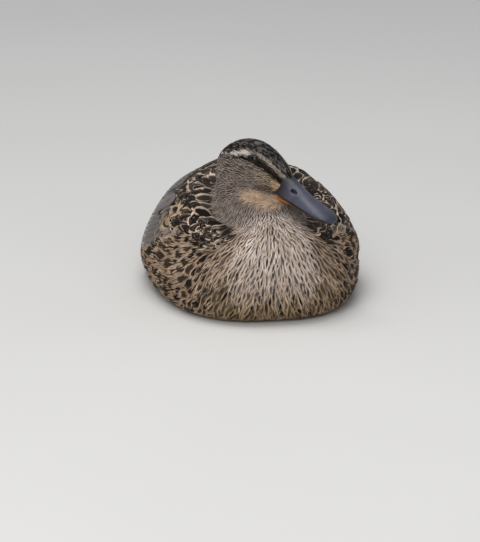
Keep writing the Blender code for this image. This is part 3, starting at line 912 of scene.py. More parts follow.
def loosened(lie, normals, rng, degrees):
    """The lie turned a little at random about the normal."""
    angle = np.radians(rng.normal(0, degrees, (len(lie), 1)))
    return lie * np.cos(angle) + np.cross(normals, lie) * np.sin(angle)


WAVES = 14  # how many waves of any direction add up to patches


def patchy(places, size, seed):
    """Soft random patches of about a given size, from 0 to 1."""
    rng = np.random.default_rng(seed)
    waves = rng.normal(0, 2.2 / size, (WAVES, 3))
    phase = rng.uniform(0, 2 * np.pi, WAVES)
    return ramp(np.sin(places @ waves.T + phase).sum(axis=1), -3.4, 3.4)

# %% Kinds of marking
# Each gives, for every feather, how far the dark disc reaches from the middle of the rounded end (1 is
# the rim of the vane), and where a dark ring outside it starts and ends.
NO_RING = (2.0, 2.0)  # past the rim, so that it isn't there


def drop_marks(core, rng, count):
    return columns(count, core * rng.uniform(0.6, 1.35, count), *NO_RING)


def scale_marks(core, rng, count):
    """Dark to near the rim; in one feather of five a thin pale line lies inside the dark."""
    inner = core * rng.uniform(0.55, 0.85, count)
    line = rng.choice((0.0, 0.09, 0.13), count, p=(0.8, 0.1, 0.1))
    return columns(count, inner, inner + line, core * rng.uniform(0.84, 1.2, count))


def face_marks(core, rng, count):
    """Drops; where they would fill the vane, as on the crown, only one tuft in three stays pale."""
    pale = rng.random(count) < 0.3
    core = np.where(core > 0.95, np.where(pale, 0.66, 1.8), core)
    return drop_marks(core, rng, count)


def ring_marks(core, rng, count):
    """A dark drop inside a dark U, with buff between and outside."""
    return columns(
        count,
        core * rng.uniform(0.5, 1.1, count),
        core + rng.uniform(0.16, 0.3, count),
        core + rng.uniform(0.4, 0.6, count),
    )

# %% Room for the eyes
EYES = tuple(np.array(centre_of(node)) for node in ("eye_left", "eye_right"))
EYE_ROOM = 4.45 * MM
EYE_DEPTH = 3 * MM  # about how far an eye's centre lies under the skin


def room_before_eyes(places, lie):
    """How long a feather can be before it would lie over an eye."""
    room = np.full(len(places), 1.0)
    for eye in EYES:
        ahead = np.sum((eye - places) * lie, axis=1)
        aside = np.linalg.norm(eye - places - lie * ahead[:, None], axis=1)
        aside = np.sqrt(np.maximum(aside**2 - EYE_DEPTH**2, 0))
        chord = np.sqrt(np.maximum(EYE_ROOM**2 - aside**2, 0))
        blocked = (aside < EYE_ROOM) & (ahead > -chord)
        room = np.where(blocked, np.minimum(room, ahead - chord), room)
    return room


# How far round from the top of the back, in degrees, and there, in mm, where the wing's long feathers
# start and end.
ROWS_COVER = np.array(((18, 60, 84), (30, 52, 88), (60, 42, 104), (90, 34, 150)))
TAIL_COVERS, TAIL_TURN = 128 * MM, 75


def under_rows(seen):
    """Where the long feathers of wings and tail cover the back, no short ones are needed."""
    turn = np.degrees(np.arctan2(np.abs(seen[:, 0]), seen[:, 2] - 34 * MM))
    start, end = (np.interp(turn, ROWS_COVER[:, 0], ROWS_COVER[:, i]) * MM for i in (1, 2))
    under_wing = (seen[:, 1] > start) & (seen[:, 1] < end) & (turn > 18) & (turn < 94)
    return under_wing | (seen[:, 1] > TAIL_COVERS) & (turn < TAIL_TURN)

# %% One function feathers a tract
SHOWN_PART = 0.75  # the share of a feather's length where its look is decided
LONG_ENOUGH = 1.2 * MM  # no feather where there is less room than this
LAST_ROOTS = 0.7  # how far past the feathers' border roots still stand, in mm
ARCH = 0.12  # how high the middle of a feather is, in gaps
TAN = linear("#a5845f")


def values_at(value, places):
    return value(places) if callable(value) else value


def feathered(name, tract, gap_of, coats_of, vanes, finish, seed, width, length, lift, marks=drop_marks,
              slim=1.0, stray=8, tone=0.14, faintest=0.7, veil=0.35, tan=0.0, slot="body_plumage"):
    """Throws roots over a tract of the skin and lays feathers on them.

    width and length are in gaps; lift is how far the ends stand off the skin; marks is the kind of marking
    and slim narrows it; stray turns feathers at random, in degrees; tone makes them lighter and darker, and
    faintest is the weakest marking; veil darkens some grounds, and tan warms some."""
    places, normals, lie, seen, rng = thrown_roots(tract, gap_of, SHOWN_PART * length, seed)
    room = room_before_eyes(places, lie)
    open_skin = (room > LONG_ENOUGH) & (past_border(places) < LAST_ROOTS) & ~under_rows(seen)
    places, normals, lie, seen, room = (rows[open_skin] for rows in (places, normals, lie, seen, room))
    count, gap = len(places), gap_of(places)
    long = length * gap * rng.uniform(0.85, 1.15, count)
    ground, mark, core = painted(count, *coats_of(seen))
    ground = mixed(ground, mark, veil * rng.random(count) ** 2)
    ground = mixed(ground, TAN, tan * rng.random(count))
    return lay_tract(
        name, vanes, finish, slot, places, skin, rng,
        out=normals,
        lie=loosened(lie, normals, rng, stray),
        size=columns(count, values_at(width, seen) * gap, np.minimum(long, room), 1.0),
        relief=columns(
            count, rng.uniform(0, 0.15, count) * lift, lift * rng.uniform(0.75, 1.25, count), ARCH * gap
        ),
        root_spot=(spot_on_head if tract == HEAD else spot_on_body)(places),
        ground=varied(ground, rng, tone),
        mark=varied(mark, rng, 1.5 * tone),
        bands=marks(core, rng, count),
        slim=np.broadcast_to(values_at(slim, seen), count),
        depth=rng.uniform(faintest, 1, count),
    )

# %% [markdown]
# ## Head
# The face has the smallest feathers, more like short hair. Her markings are a blackish crown with fine pale
# streaks, a pale brow over a dark stripe through the eye, a streaky grey-brown cheek, a buff spot in front
# of it beside the bill, and a plain buff throat. Brow and stripe are lines given as how high they run, seen
# from the bill's axis, so they stay in place on both sides.

# %% The face's markings
# Along the bill's axis in mm, height in degrees above the side, half width in degrees.
BROW = np.array((
    (-60, 24, 0.5), (-50, 34, 1.5), (-46, 39, 3.5), (-41, 44.5, 5), (-36, 51, 5.5), (-31, 57, 4.5),
    (-25, 63, 2.6), (-13, 65, 2.4), (3, 66, 2.2),
))
STRIPE = np.array((
    (-60, 12, 1), (-49, 22, 2), (-44, 29, 3), (-35, 40, 3.5), (-29, 45, 6), (-25, 48, 10),
    (-19, 50, 10.5), (-13, 49.5, 11), (-7, 48, 12), (-2, 45, 14), (2, 42, 16),
))
CROWN_LOOK = ("#9b938a", "#090807", 1.04)
CHEEK_LOOK = ("#a6978b", "#271e19", 0.62)
BROW_LOOK = ("#ecdfd1", "#6b5d52", 0.2)
FRONT_BROW_LOOK = ("#d3c6b6", "#17120f", 0.66)
STRIPE_LOOK = ("#372e28", "#0f0c0a", 0.86)
FRONT_CHEEK_LOOK = ("#cdb89d", "#241a14", 0.6)
LORE_LOOK = ("#dcbb90", "#a5876a", 0.1)
GAPE_LOOK = ("#8c7a6a", "#352b26", 0.6)
THROAT_LOOK = ("#cfb195", "#a3846b", 0.14)
NECK_LOOK = ("#b3a498", "#2b221c", 0.6)
BREAST_LOOK = ("#fdebdd", "#221710", 0.61)


def on_line(line, along, height):
    """How far above a line of the face a place is, in degrees, and the line's half width there."""
    middle, half = (np.interp(along, line[:, 0], line[:, i]) for i in (1, 2))
    return height - middle, half


def face_coats(places):
    x, y, z = (in_head(places) / MM).T
    height = np.degrees(np.arctan2(z, np.abs(y)))
    brow, brow_half = on_line(BROW, x, height)
    stripe, stripe_half = on_line(STRIPE, x, height)
    crown = ramp(brow, 0.7 * brow_half, 1.3 * brow_half + 2)
    crown = np.maximum(crown, ramp(-x, 50, 57) * (1 - ramp(np.abs(y), 6, 11)))
    lore = 1 - ramp(np.hypot(x + 1, (z - 3.2) * 0.8), 2.6, 5)
    # In front of the eye the brow is dark with fine pale dashes.
    ahead = ramp(x, -30, -23)
    gape = (1 - ramp(np.abs(z + 2.4), 1, 3.6)) * ramp(x, -20, -12) * (1 - ramp(x, 0, 3))
    throat = ramp(-z, 4.2, 8.6) * ramp(x + 5 * patchy(places, 9 * MM, 8), -23, -13)
    return (
        (NECK_LOOK, 1),
        (CHEEK_LOOK, ramp(x, -58, -40) * ramp(z, -18, -8)),
        (FRONT_CHEEK_LOOK, ramp(x, -22, -9) * ramp(z, -4, 0)),
        (THROAT_LOOK, throat),
        (GAPE_LOOK, gape),
        (LORE_LOOK, lore),
        (CROWN_LOOK, crown),
        (BROW_LOOK, (1 - ahead) * hump(brow, 0, brow_half)),
        (FRONT_BROW_LOOK, ahead * hump(brow, 0, 1.8 * brow_half)),
        (STRIPE_LOOK, hump(stripe, 0, stripe_half)),
    )

# %% Feather the head
def face_gap(places):
    """The tufts are closest round eye and bill and grow towards the neck."""
    return mixed(1.1 * MM, 1.55 * MM, ramp(-in_head(places)[:, 0], 10 * MM, 45 * MM))


feathered("head_plumage", HEAD, face_gap, face_coats, DOWNY, FACE_DOWN, seed=1,
          width=1.5, length=4.4, lift=0.8 * MM, stray=7, tone=0.24, slim=1.4, marks=face_marks,
          faintest=0.85, slot="head_plumage")

# %% [markdown]
# ## Neck and breast
# From the throat down the feathers grow from about 6 mm to 25 mm long. On the neck each has a fine dark
# shaft line, and on the breast the line grows to a narrow drop, so the breast looks streaked. The drops get
# bolder and the buff darker towards the belly and the sides, low down partly as painted shade of the
# underside. Soft vanes suit them, as their barbs part.

# %% Feather the neck
def neck_gap(places):
    return mixed(1.5 * MM, 2.1 * MM, ramp(neck_oval(places), 0.55, 1.05))


def in_front(places):
    """1 at the front, below the bill, where the pale breast reaches up on the neck."""
    return ramp(-places[:, 1], 62 * MM, 76 * MM)


def neck_coats(places):
    x, _, z = (in_head(places) / MM).T
    throat = ramp(x, -22, -14) * (1 - ramp(-z, 14, 20)) * (1 - ramp(x, 4, 12))
    breast = 0.8 * ramp(neck_oval(places), 0.78, 0.98) * in_front(places)
    return (NECK_LOOK, 1), (THROAT_LOOK, throat), (BREAST_LOOK, breast)


feathered("neck_plumage", NECK, neck_gap, neck_coats, DOWNY, FACE_DOWN, seed=2,
          width=1.5, length=4.2, lift=1.3 * MM, stray=7, tone=0.2, slim=1.5)

# %% Feather the breast and flanks
# The low breast look is darker partly as painted shade of the underside.
LOW_BREAST_LOOK = ("#c8ad8b", "#150d08", 0.84)
SIDE_BREAST_LOOK = ("#d3b9a2", "#1a110b", 0.76)
FLANK_LOOK = ("#c6ab92", "#140c08", 0.64)


def flankness(places):
    return ramp(sideways(places), 36, 56)


def breast_gap(places):
    upper = mixed(2.0 * MM, 3.3 * MM, ramp(neck_oval(places), 1.0, 1.6))
    return mixed(upper, 7.2 * MM, ramp(sideways(places), 30, 74))


def breast_coats(places):
    # Darker towards the bottom: partly the low breast's own deeper buff, partly painted shade of the
    # underside.
    low = 1 - ramp(places[:, 2], 6 * MM, 40 * MM)
    side = ramp(sideways(places), 18, 34)
    neck = (1 - ramp(neck_oval(places), 1.0, 1.22)) * (1 - 0.8 * in_front(places))
    return (
        (BREAST_LOOK, 1),
        (SIDE_BREAST_LOOK, side),
        (LOW_BREAST_LOOK, low),
        (NECK_LOOK, 0.7 * neck),
        (FLANK_LOOK, flankness(places)),
    )


feathered("breast_plumage", BREAST, breast_gap, breast_coats, SOFT, SOFT_KERATIN, seed=3,
          width=1.7, length=4.6, lift=2.1 * MM, stray=10, faintest=0.66, slim=1.6, veil=0.15, tan=0.5)
feathered("flank_plumage", FLANK, breast_gap, breast_coats, SOFT, SOFT_KERATIN, seed=4,
          width=lambda p: mixed(1.7, 2.3, flankness(p)), length=3.6, lift=2.3 * MM, stray=9,
          marks=ring_marks, faintest=0.88, tan=0.5, slim=lambda p: mixed(1.7, 0.9, flankness(p)))

# %% [markdown]
# ## Shoulders, back and wing coverts
# On the back the feathers are firm, blackish brown and edged with buff, with a thin pale line inside some
# of them. Real ones have clean round ends, so the firm vane fits them, and wide overlaps hide the roots.

# %% Feather the back
MANTLE_LOOK = ("#ccb5a0", "#0c0705", 1.05)
GOLD_LOOK = ("#b59b7d", "#1d1511", 0.82)
COVERT_LOOK = ("#92857a", "#574d45", 0.88)
RUMP_LOOK = ("#a8917b", "#2f241d", 0.7)
BELLY_LOOK = ("#c9b298", "#5b4a3d", 0.5)


def back_gap(places):
    near = mixed(2.8 * MM, 4.0 * MM, ramp(places[:, 1], -80 * MM, -20 * MM))
    return mixed(near, 5.5 * MM, ramp(places[:, 1], 30 * MM, 90 * MM))


def belly_gap(places):
    return np.full(len(places), 4 * MM)


def mantle_coats(places):
    # Some golden feathers grow low on the shoulder, towards the wing.
    gold = ramp(patchy(places, 16 * MM, 3), 0.5, 0.75) * ramp(np.abs(places[:, 0]), 56 * MM, 64 * MM)
    return (MANTLE_LOOK, 1), (GOLD_LOOK, gold)


def plain(look):
    """Coats of one look."""
    return lambda places: ((look, 1),)


feathered("mantle_plumage", MANTLE, back_gap, mantle_coats, FIRM, FIRM_KERATIN, seed=5,
          width=2.5, length=5.0, lift=2.4 * MM, stray=9, tone=0.2, veil=0.8, faintest=0.92,
          marks=scale_marks, slim=1.2)
feathered("covert_plumage", COVERTS, back_gap, plain(COVERT_LOOK), FIRM, FIRM_KERATIN, seed=6,
          width=2.4, length=3.2, lift=1.8 * MM, slot="wing_coverts")
feathered("rump_plumage", RUMP, back_gap, plain(RUMP_LOOK), FIRM, FIRM_KERATIN, seed=7,
          width=2.4, length=3.2, lift=2.2 * MM)
feathered("belly_plumage", BELLY, belly_gap, plain(BELLY_LOOK), SOFT, SOFT_KERATIN, seed=8,
          width=1.8, length=3.8, lift=1.9 * MM, slim=2.0, faintest=0.4)

# %% [markdown]
# ## The skin's colour
# What shows of the skin between the feathers carries the same markings, a little darker, as the bases of
# the feathers are in shade. Past the feathers' border it is bare: slate like the bill, and orange in the
# corners of the mouth.

# %% Colour the skin
IN_SHADE = 0.7
SLATE, ORANGE = "#43444f", "#c2762f"


def skin_colours(places, normals):
    tract = tract_of(places, normals)
    colours = np.zeros((len(places), 3))
    coats = {
        HEAD: face_coats, NECK: neck_coats, BREAST: breast_coats, FLANK: breast_coats,
        MANTLE: plain(MANTLE_LOOK), COVERTS: plain(COVERT_LOOK),
        RUMP: plain(RUMP_LOOK), BELLY: plain(BELLY_LOOK),
    }
    for which, coats_of in coats.items():
        inside = tract == which
        ground, mark, core = painted(inside.sum(), *coats_of(places[inside]))
        colours[inside] = mixed(ground, mark, 0.35 + 0.5 * core)
    in_mouth = ramp(-in_head(places)[:, 2:], 4.4 * MM, 5.4 * MM)
    bare = mixed(linear(SLATE), linear(ORANGE), in_mouth)
    return mixed(IN_SHADE * colours, bare, ramp(past_border(places), -1.0, -0.2))


keep_field(skin_mesh, "tint", skin_colours(corners(skin_mesh), corners(skin_mesh, "normal")))


def skin_finish():
    """Down over skin: quite matt and mottled, so that it reads as shade between the feathers."""
    material, tree = new_material("down covered skin")
    down = noise(place_in(tree), 1 / (1.2 * MM))
    return surfaced(
        material,
        Base_Color=field(tree, "tint", "Color").scaled(down * 0.8 + 0.3),
        Normal=bumped(down, 0.5, 0.3 * MM),
        Roughness=0.9,
        Specular_IOR_Level=0.2,
    )


worn(skin, "body_plumage", *FLESH, finish=skin_finish())

# %% [markdown]
# ## Wings and tail
# The long feathers of a folded wing lie in layers like a fan that is nearly shut: scapulars hang over the
# shoulder, tertials over the folded wing, coverts and secondaries below, and the primaries stick out behind.
# They bend round the body, so they are laid on a sheet that wraps wings, back and tail. The sheet is found
# by looking inwards at the solids from all round, and unrolled flat, which lets each feather be placed by
# two plain numbers: how far round from the top of the back, in degrees, and how far back.

# %% Wrap a sheet round the bird
TURNS = np.radians(np.arange(-125, 126, 5))
BACKS = np.arange(-60, 241, 5) * MM
SHEET_NODES = ("trunk", "wing_left", "wing_right", "flight_feathers_left", "flight_feathers_right", "tail")
UNDER_SOLIDS = 2.6 * MM  # the sheet lies this far inside, to leave room for the feathers
FAR_OUT = 0.2  # where the look inwards starts, in metres


def axis_height(back):
    """The middle line that the sheet wraps, sinking towards the tail."""
    return np.interp(back, (0.12, 0.235), (0.034, 0.002))


def wrapped_sheet():
    """How far the solids reach from the middle line, by how far back and how far round."""
    form = gathered(SHEET_NODES)
    solids = BVHTree.FromBMesh(form)
    form.free()
    reach = np.full((len(BACKS), len(TURNS)), np.nan)
    for i, back in enumerate(BACKS):
        middle = Vector((0, back, axis_height(back)))
        for j, turn in enumerate(TURNS):
            out = Vector((math.sin(turn), 0, math.cos(turn)))
            hit = solids.ray_cast(middle + out * FAR_OUT, -out, FAR_OUT)
            if hit[0] is not None:
                reach[i, j] = FAR_OUT - hit[3]
    for row in reach:
        known = ~np.isnan(row)
        row[:] = np.interp(TURNS, TURNS[known], row[known])
    for _ in range(3):
        padded = np.pad(reach, 1, mode="edge")
        reach = (reach * 2 + padded[:-2, 1:-1] + padded[2:, 1:-1] + padded[1:-1, :-2] + padded[1:-1, 2:]) / 6
    return reach - UNDER_SOLIDS


REACH = wrapped_sheet()
SHEET = np.stack((
    REACH * np.sin(TURNS),
    np.repeat(BACKS[:, None], len(TURNS), axis=1),
    axis_height(BACKS)[:, None] + REACH * np.cos(TURNS),
), axis=-1)
# Flat place: how far round along the sheet, measured from the top, and how far back.
ROUND = np.cumsum(np.linalg.norm(np.diff(SHEET, axis=1, prepend=SHEET[:, :1]), axis=-1), axis=1)
ROUND -= ROUND[:, len(TURNS) // 2][:, None]


def on_sheet(table, turn, back):
    """The value of a table of the sheet between its rows and columns."""
    i = np.clip((back - BACKS[0]) / (BACKS[1] - BACKS[0]), 0, len(BACKS) - 1.001)
    j = np.clip((turn - TURNS[0]) / (TURNS[1] - TURNS[0]), 0, len(TURNS) - 1.001)
    a, b = i.astype(int), j.astype(int)
    u, v = i - a, j - b
    return mixed(mixed(table[a, b], table[a, b + 1], v), mixed(table[a + 1, b], table[a + 1, b + 1], v), u)


def unrolled_sheet():
    """The flat sheet, which knows for each vertex its true place and which way is out."""
    rows, across = REACH.shape
    flat = np.stack((ROUND, SHEET[:, :, 1], np.zeros_like(ROUND)), axis=-1).reshape(-1, 3)
    mesh = new_mesh("wing_bed", flat, grid_faces(rows - 1, across - 1))
    round_way, back_way = (np.gradient(SHEET, axis=axis).reshape(-1, 3) for axis in (1, 0))
    keep_field(mesh, "place", SHEET.reshape(-1, 3))
    keep_field(mesh, "out_bed", unit(np.cross(round_way, back_way)))
    return shown("wing_bed", mesh)


WING_BED = unrolled_sheet()
print("sheet reaches", np.round(REACH.min() / MM), "to", np.round(REACH.max() / MM), "mm out")

# %% [markdown]
# ## Rows of long feathers
# A row of feathers needs only its first and last feather: roots, tips and width run evenly between them.
# Each feather lies a little under the one above it, as in a hand of cards.

# %% One function lays a row on both sides
STEP_DOWN = 1.4  # how much lower in mm the undermost feather of a row starts than the top one
HOLLOW = -0.024  # how far the middle of a feather sinks, as a share of its width
UNEVEN = 0.8, 1.2  # how unevenly the ends of a row lie, in degrees and in mm


def laid_row(name, count, roots, tips, width, rise, lift, look, seed, vanes=ROUND_QUILL,
             finish=QUILL_KERATIN, slot="wing_coverts", first_on_top=False, ring=NO_RING):
    """roots and tips: ((turn, back) of the first, (turn, back) of the last) in degrees and mm.

    rise and lift, in mm, are how far the roots stand off the sheet and how much more the tips do."""
    rng = np.random.default_rng(seed)
    both = 2 * count
    share = np.linspace(0, 1, count)
    sides = np.repeat((1, -1), count)

    def laid_out(ends):
        """Turn, back and flat place of one end of each feather, on both sides."""
        turn, back = np.array(ends[0])[:, None] + np.subtract(ends[1], ends[0])[:, None] * share
        turn = sides * np.tile(np.radians(turn + rng.normal(0, UNEVEN[0], count)), 2)
        back = np.tile((back + rng.normal(0, UNEVEN[1], count)) * MM, 2)
        return turn, back, np.column_stack((on_sheet(ROUND, turn, back), back, np.zeros(both)))

    root_turn, root_back, root = laid_out(roots)
    tip = laid_out(tips)[2]
    share = np.tile(share, 2)
    order = share if first_on_top else 1 - share
    widths = np.interp(share, (0, 1), width) * MM
    ground, mark, core = painted(both, (look, 1))
    return lay_tract(
        name, vanes, finish, slot, root, WING_BED, rng,
        out=np.tile((0.0, 0.0, 1.0), (both, 1)),
        lie=unit(tip - root),
        size=columns(both, widths, np.linalg.norm(tip - root, axis=1), 1.0),
        relief=columns(both, (rise - STEP_DOWN * order) * MM, lift * MM, HOLLOW * widths),
        root_spot=spot_on_body(on_sheet(SHEET, root_turn, root_back)),
        ground=varied(ground, rng, 0.08),
        mark=varied(mark, rng, 0.08),
        bands=columns(both, core * rng.uniform(0.95, 1.05, both), *ring),
        slim=np.ones(both),
        depth=rng.uniform(0.85, 1, both),
    )

# %% Lay the wing
# Looks: pale edge, dark middle, and how much of the half width the dark middle takes.
SCAPULAR_LOOK = ("#b09a84", "#33271f", 0.8)
TERTIAL_LOOK = ("#b3a899", "#5f564f", 0.86)
GREATER_LOOK = ("#b3aaa1", "#6d6662", 0.88)
PRIMARY_LOOK = ("#8d8278", "#3f3833", 0.9)
SECONDARY_LOOK = ("#9a9087", "#5a5049", 0.9)
# The colour bands of a secondary, from its root to its tip.
SPECULUM_BANDS = (
    (0.0, "#5a5049"), (0.44, "#5a5049"), (0.455, "#e9e6df"), (0.5, "#e9e6df"), (0.515, "#15151a"),
    (0.56, "#1b2030"), (0.575, "#27417f"), (0.8, "#35478f"), (0.82, "#15151a"), (0.9, "#1a1a1e"),
    (0.915, "#ece9e3"), (1.0, "#e4e0d8"),
)


def speculum_finish():
    """Brown, white, black, bright blue, black and a white tip: the one clear colour on the bird."""
    material = feather_finish("speculum keratin", 80, 0.4, 0.05, ragged=0.1, soft=0.03, base=0.9)
    tree = material.node_tree
    across, along = field(tree, "across"), field(tree, "along")
    bands = add(tree, "ShaderNodeValToRGB", {"Fac": across * across * 0.03 + along})
    points = bands.color_ramp.elements
    while len(points) < len(SPECULUM_BANDS):
        points.new(0.5)
    for point, (place, colour) in zip(points, SPECULUM_BANDS):
        point.position = place
        point.color = (*linear(colour), 1)
    keratin = next(node for node in tree.nodes if node.type == "BSDF_PRINCIPLED")
    tree.links.new(bands.outputs[0], keratin.inputs["Base Color"])
    return material


primaries = laid_row("primaries", 9, ((84, 62), (62, 74)), ((97, 132), (24, 205)), (11, 12), 0.6, 0.6,
                     PRIMARY_LOOK, 31, POINTED_QUILL, slot="flight_feathers")
laid_row("secondaries", 10, ((96, 4), (66, 40)), ((112, 84), (74, 122)), (13, 15), 1.6, 0.7,
         SECONDARY_LOOK, 32, finish=speculum_finish(), slot="flight_feathers")
laid_row("greater_coverts", 10, ((88, 4), (58, 20)), ((102, 60), (76, 86)), (14, 17), 2.6, 0.8,
         GREATER_LOOK, 33)
laid_row("median_coverts", 9, ((83, -8), (56, 8)), ((93, 34), (72, 56)), (14, 17), 3.2, 0.9,
         GREATER_LOOK, 34)
laid_row("tertials", 5, ((72, 18), (46, 30)), ((88, 112), (58, 148)), (20, 22), 3.6, 0.8,
         TERTIAL_LOOK, 35)
laid_row("scapulars", 7, ((60, 24), (16, 46)), ((70, 80), (20, 120)), (17, 20), 4.0, 0.9,
         SCAPULAR_LOOK, 36, ring=(0.5, 0.56))
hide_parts("flight_feathers_left", "flight_feathers_right")

# %% [markdown]
# ## Tail
# A short fan of feathers, brown with buff edges and bars. The middle pair lies on top. Softer tail coverts
# hide the roots above and below.

# %% Lay the tail
TAIL_LOOK = ("#cdb79c", "#4a3d33", 0.7)
TAIL_COVERT_LOOK = ("#c2a98d", "#3a2d24", 0.66)

tail = laid_row("tail_feathers", 8, ((4, 156), (58, 150)), ((4, 238), (52, 216)), (15, 12), 1.2, 0.4,
                TAIL_LOOK, 37, slot="tail_feathers", first_on_top=True, ring=(0.78, 0.88))
laid_row("tail_coverts", 6, ((5, 122), (58, 118)), ((5, 182), (58, 172)), (16, 14), 3.0, 0.8,
         TAIL_COVERT_LOOK, 38, slot="tail_feathers", first_on_top=True, ring=(0.8, 0.92))
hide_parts("tail")

# %% [markdown]
# ## Bill
# A duck's bill is bone under a thin layer of skin and soft horn, slate grey on this hen, with a harder nail
# at the tip and orange brown along the cutting edge. The solids of upper bill and nail are remeshed finely
# together with the head, so that the bill grows out of the face without a seam, then smoothed and cut off
# where the feathers begin. Each vertex keeps its place in the head's directions, so the finish can tell
# ridge, edge, nostril and nail apart.

# %% Mesh the bill
BILL_VOXEL, FOOT_VOXEL = 0.45 * MM, 0.6 * MM
RIM_DEPTH = 1.6 * MM  # how far the bill's rim dips under the feathered skin
RIM_END = -2.2  # where the rim is cut off, in mm past the feathers' border


def bare_piece(name, nodes, slot, voxel, rounds, finish, shape=None, host=()):
    """A fine smooth copy of some solids, which carries its places in the head's directions.

    host: solids that it grows out of, joined on so that the passage is smooth; shape then cuts them off."""
    mesh = one_surface(name, (*nodes, *host), voxel)
    relaxed(mesh, rounds)
    if shape:
        relaxed(mesh, 14, hold=ramp(in_head(corners(mesh))[:, 0], 7 * MM, 12 * MM))
        shape(mesh)
    keep_field(mesh, "spot", in_head(corners(mesh)) / MM)
    return worn(shown(name, mesh), slot, *nodes, finish=finish)


def rooted_under_feathers(mesh):
    """Keeps only the bare skin, with a rim that dips under the feathered skin."""
    places, normals = corners(mesh), corners(mesh, "normal")
    past = past_border(places)
    move_corners(mesh, places - normals * (ramp(1.2 - past, 0, 2.8) * RIM_DEPTH)[:, None])
    relaxed(mesh, 5, hold=ramp(past, 1, 3))
    cut_away(mesh, past < RIM_END)


# Places on the bill, in mm along it and up.
NOSTRIL, NOSTRIL_SHAPE = (-16.6, -4.0, 0), (0.3, 0.8, 0)
RIBS = 4.6  # how close the ribs stand, in turns of a wave for each mm
CORNER_ORANGE, RIB_BROWN, NOSTRIL_INSIDE_SHADE = "#b8742e", "#33261f", "#131318"


def bill_finish(name, base, root, edge, edge_line, roughness, ribbed, tip_start):
    """Soft horn: a satin skin with fine pores and faint stains, and a coloured cutting edge.

    base: two mottled shades and the one from tip_start on; root: the colour beside the face, on the slate
    bill a painted shade; edge_line: how high the cutting edge lies, and how it rises along the bill; ribbed:
    how much its ribs show."""
    material, tree = new_material(name)
    spot = field(tree, "spot", "Vector")
    along, _, height = split(spot)
    stain, pores = noise(spot, 0.16, 4.0), noise(spot, 2.2)
    colour = blended(step(stain, 0.35, 0.65), base[0], base[1])
    colour = blended(step(along, tip_start - 6, tip_start + 6), colour, base[2])
    # Towards the face the colour turns to root; on the slate bill this is painted shade beside the feathers.
    colour = blended(step(along, 18.0, 3.0), colour, root)
    # The cutting edge curls up at the corner of the mouth, where it is orange.
    line = step(along, 6.0, -1.0) * 1.3 + edge_line[0]
    line = along * edge_line[1] + line
    edge = blended(step(along, 9.0, 4.0), edge, CORNER_ORANGE)
    colour = blended(step(height - line, 1.1, 0.1), colour, edge)
    # Fine ribs strain the water along the lower edge; the nostril's opening is painted near black as the
    # shade inside it.
    ribs = step((along * RIBS).math("SINE"), -0.2, 0.6) * ribbed
    colour = blended(ribs, colour, RIB_BROWN)
    slit = vector_of(along, height).vector("ADD", NOSTRIL).vector("MULTIPLY", NOSTRIL_SHAPE)
    slit = slit.vector("LENGTH", socket="Value")
    return surfaced(
        material,
        Base_Color=blended(step(slit, 1.15, 0.7), colour, NOSTRIL_INSIDE_SHADE),
        Normal=bumped(pores, 0.25, 0.12 * MM),
        Roughness=roughness,
        Specular_IOR_Level=0.4,
        Subsurface_Weight=0.05,
        Subsurface_Radius=(0.002, 0.001, 0.0008),
    )


# Slate with a soft satin light along the ridge: the smoothest and coolest surface of the face.
SLATE_BILL = bill_finish("slate bill skin", ("#41424f", "#4b4c5a", "#363741"), "#1c1d23", "#4a382c",
                         (-5.6, -0.03), 0.42, 0.0, 48)
# Dull orange with dark ribs, which shows as a warm line below the slate.
ORANGE_BILL = bill_finish("orange lower bill skin", ("#b0702f", "#9c6335", "#4f4037"), "#b8742e", "#6d4e38",
                          (-30, 0), 0.5, 0.6, 14)
bare_piece("bill_upper_skin", ("bill_upper", "bill_nail"), "bill", BILL_VOXEL, 6, SLATE_BILL,
           shape=rooted_under_feathers, host=("head",))
bare_piece("bill_lower_skin", ("bill_lower",), "bill_lower", BILL_VOXEL, 3, ORANGE_BILL)

# %% [markdown]
# ## Eyes
# Only a small part of a bird's eye shows between the lids. The ball carries a dark brown iris round a black
# pupil under a clear wet cornea, which stands out a little in front. The lids are two bare rims of
# dark skin with the tiniest feathers around them. A ball and a ring fitted to it are all that shows, so
# they are made from formulas and stood in the head's directions.

# %% Where the eyes look
EYE_SIZE = 4.8 * MM
PUPIL, IRIS = 2.0, 3.9  # radii in mm, seen from in front
LID_OPEN = (4.2 * MM, 3.1 * MM)  # half the opening, along and up
LID_TILT = 0.2  # how much the opening rises backwards, in radians
SUNK = 0.5 * MM  # how much deeper than the solids the balls lie
CORNEA = 0.4 * MM  # how far the cornea bulges
AROUND_EYE = 6 * MM, 9 * MM  # the ring of skin that an eye faces out of
SORTED_ALONG = Vector((1, 31, 997))  # a slanting way, along which no two faces lie equally far


def eye_frames():
    """For each eye its node, the ball's centre, the ways out, forward and up, and how deep it lies."""
    around = corners(skin_mesh)
    nose, left = HEAD_TURN[:, 0], HEAD_TURN[:, 1]
    for node, centre, hand in zip(("eye_left", "eye_right"), EYES, (1, -1)):
        distance = np.linalg.norm(around - centre, axis=1)
        ring = around[(distance > AROUND_EYE[0]) & (distance < AROUND_EYE[1])]
        out = np.linalg.svd(ring - ring.mean(axis=0))[2][2]
        out = unit(out if out @ left * hand > 0 else -out)
        ahead = unit(nose - out * (nose @ out))
        ahead = unit(ahead * math.cos(LID_TILT) - np.cross(out, ahead) * math.sin(LID_TILT) * hand)
        depth = (ring.mean(axis=0) - centre) @ out + SUNK
        yield node, centre - out * SUNK, out, ahead, np.cross(out, ahead) * hand, depth

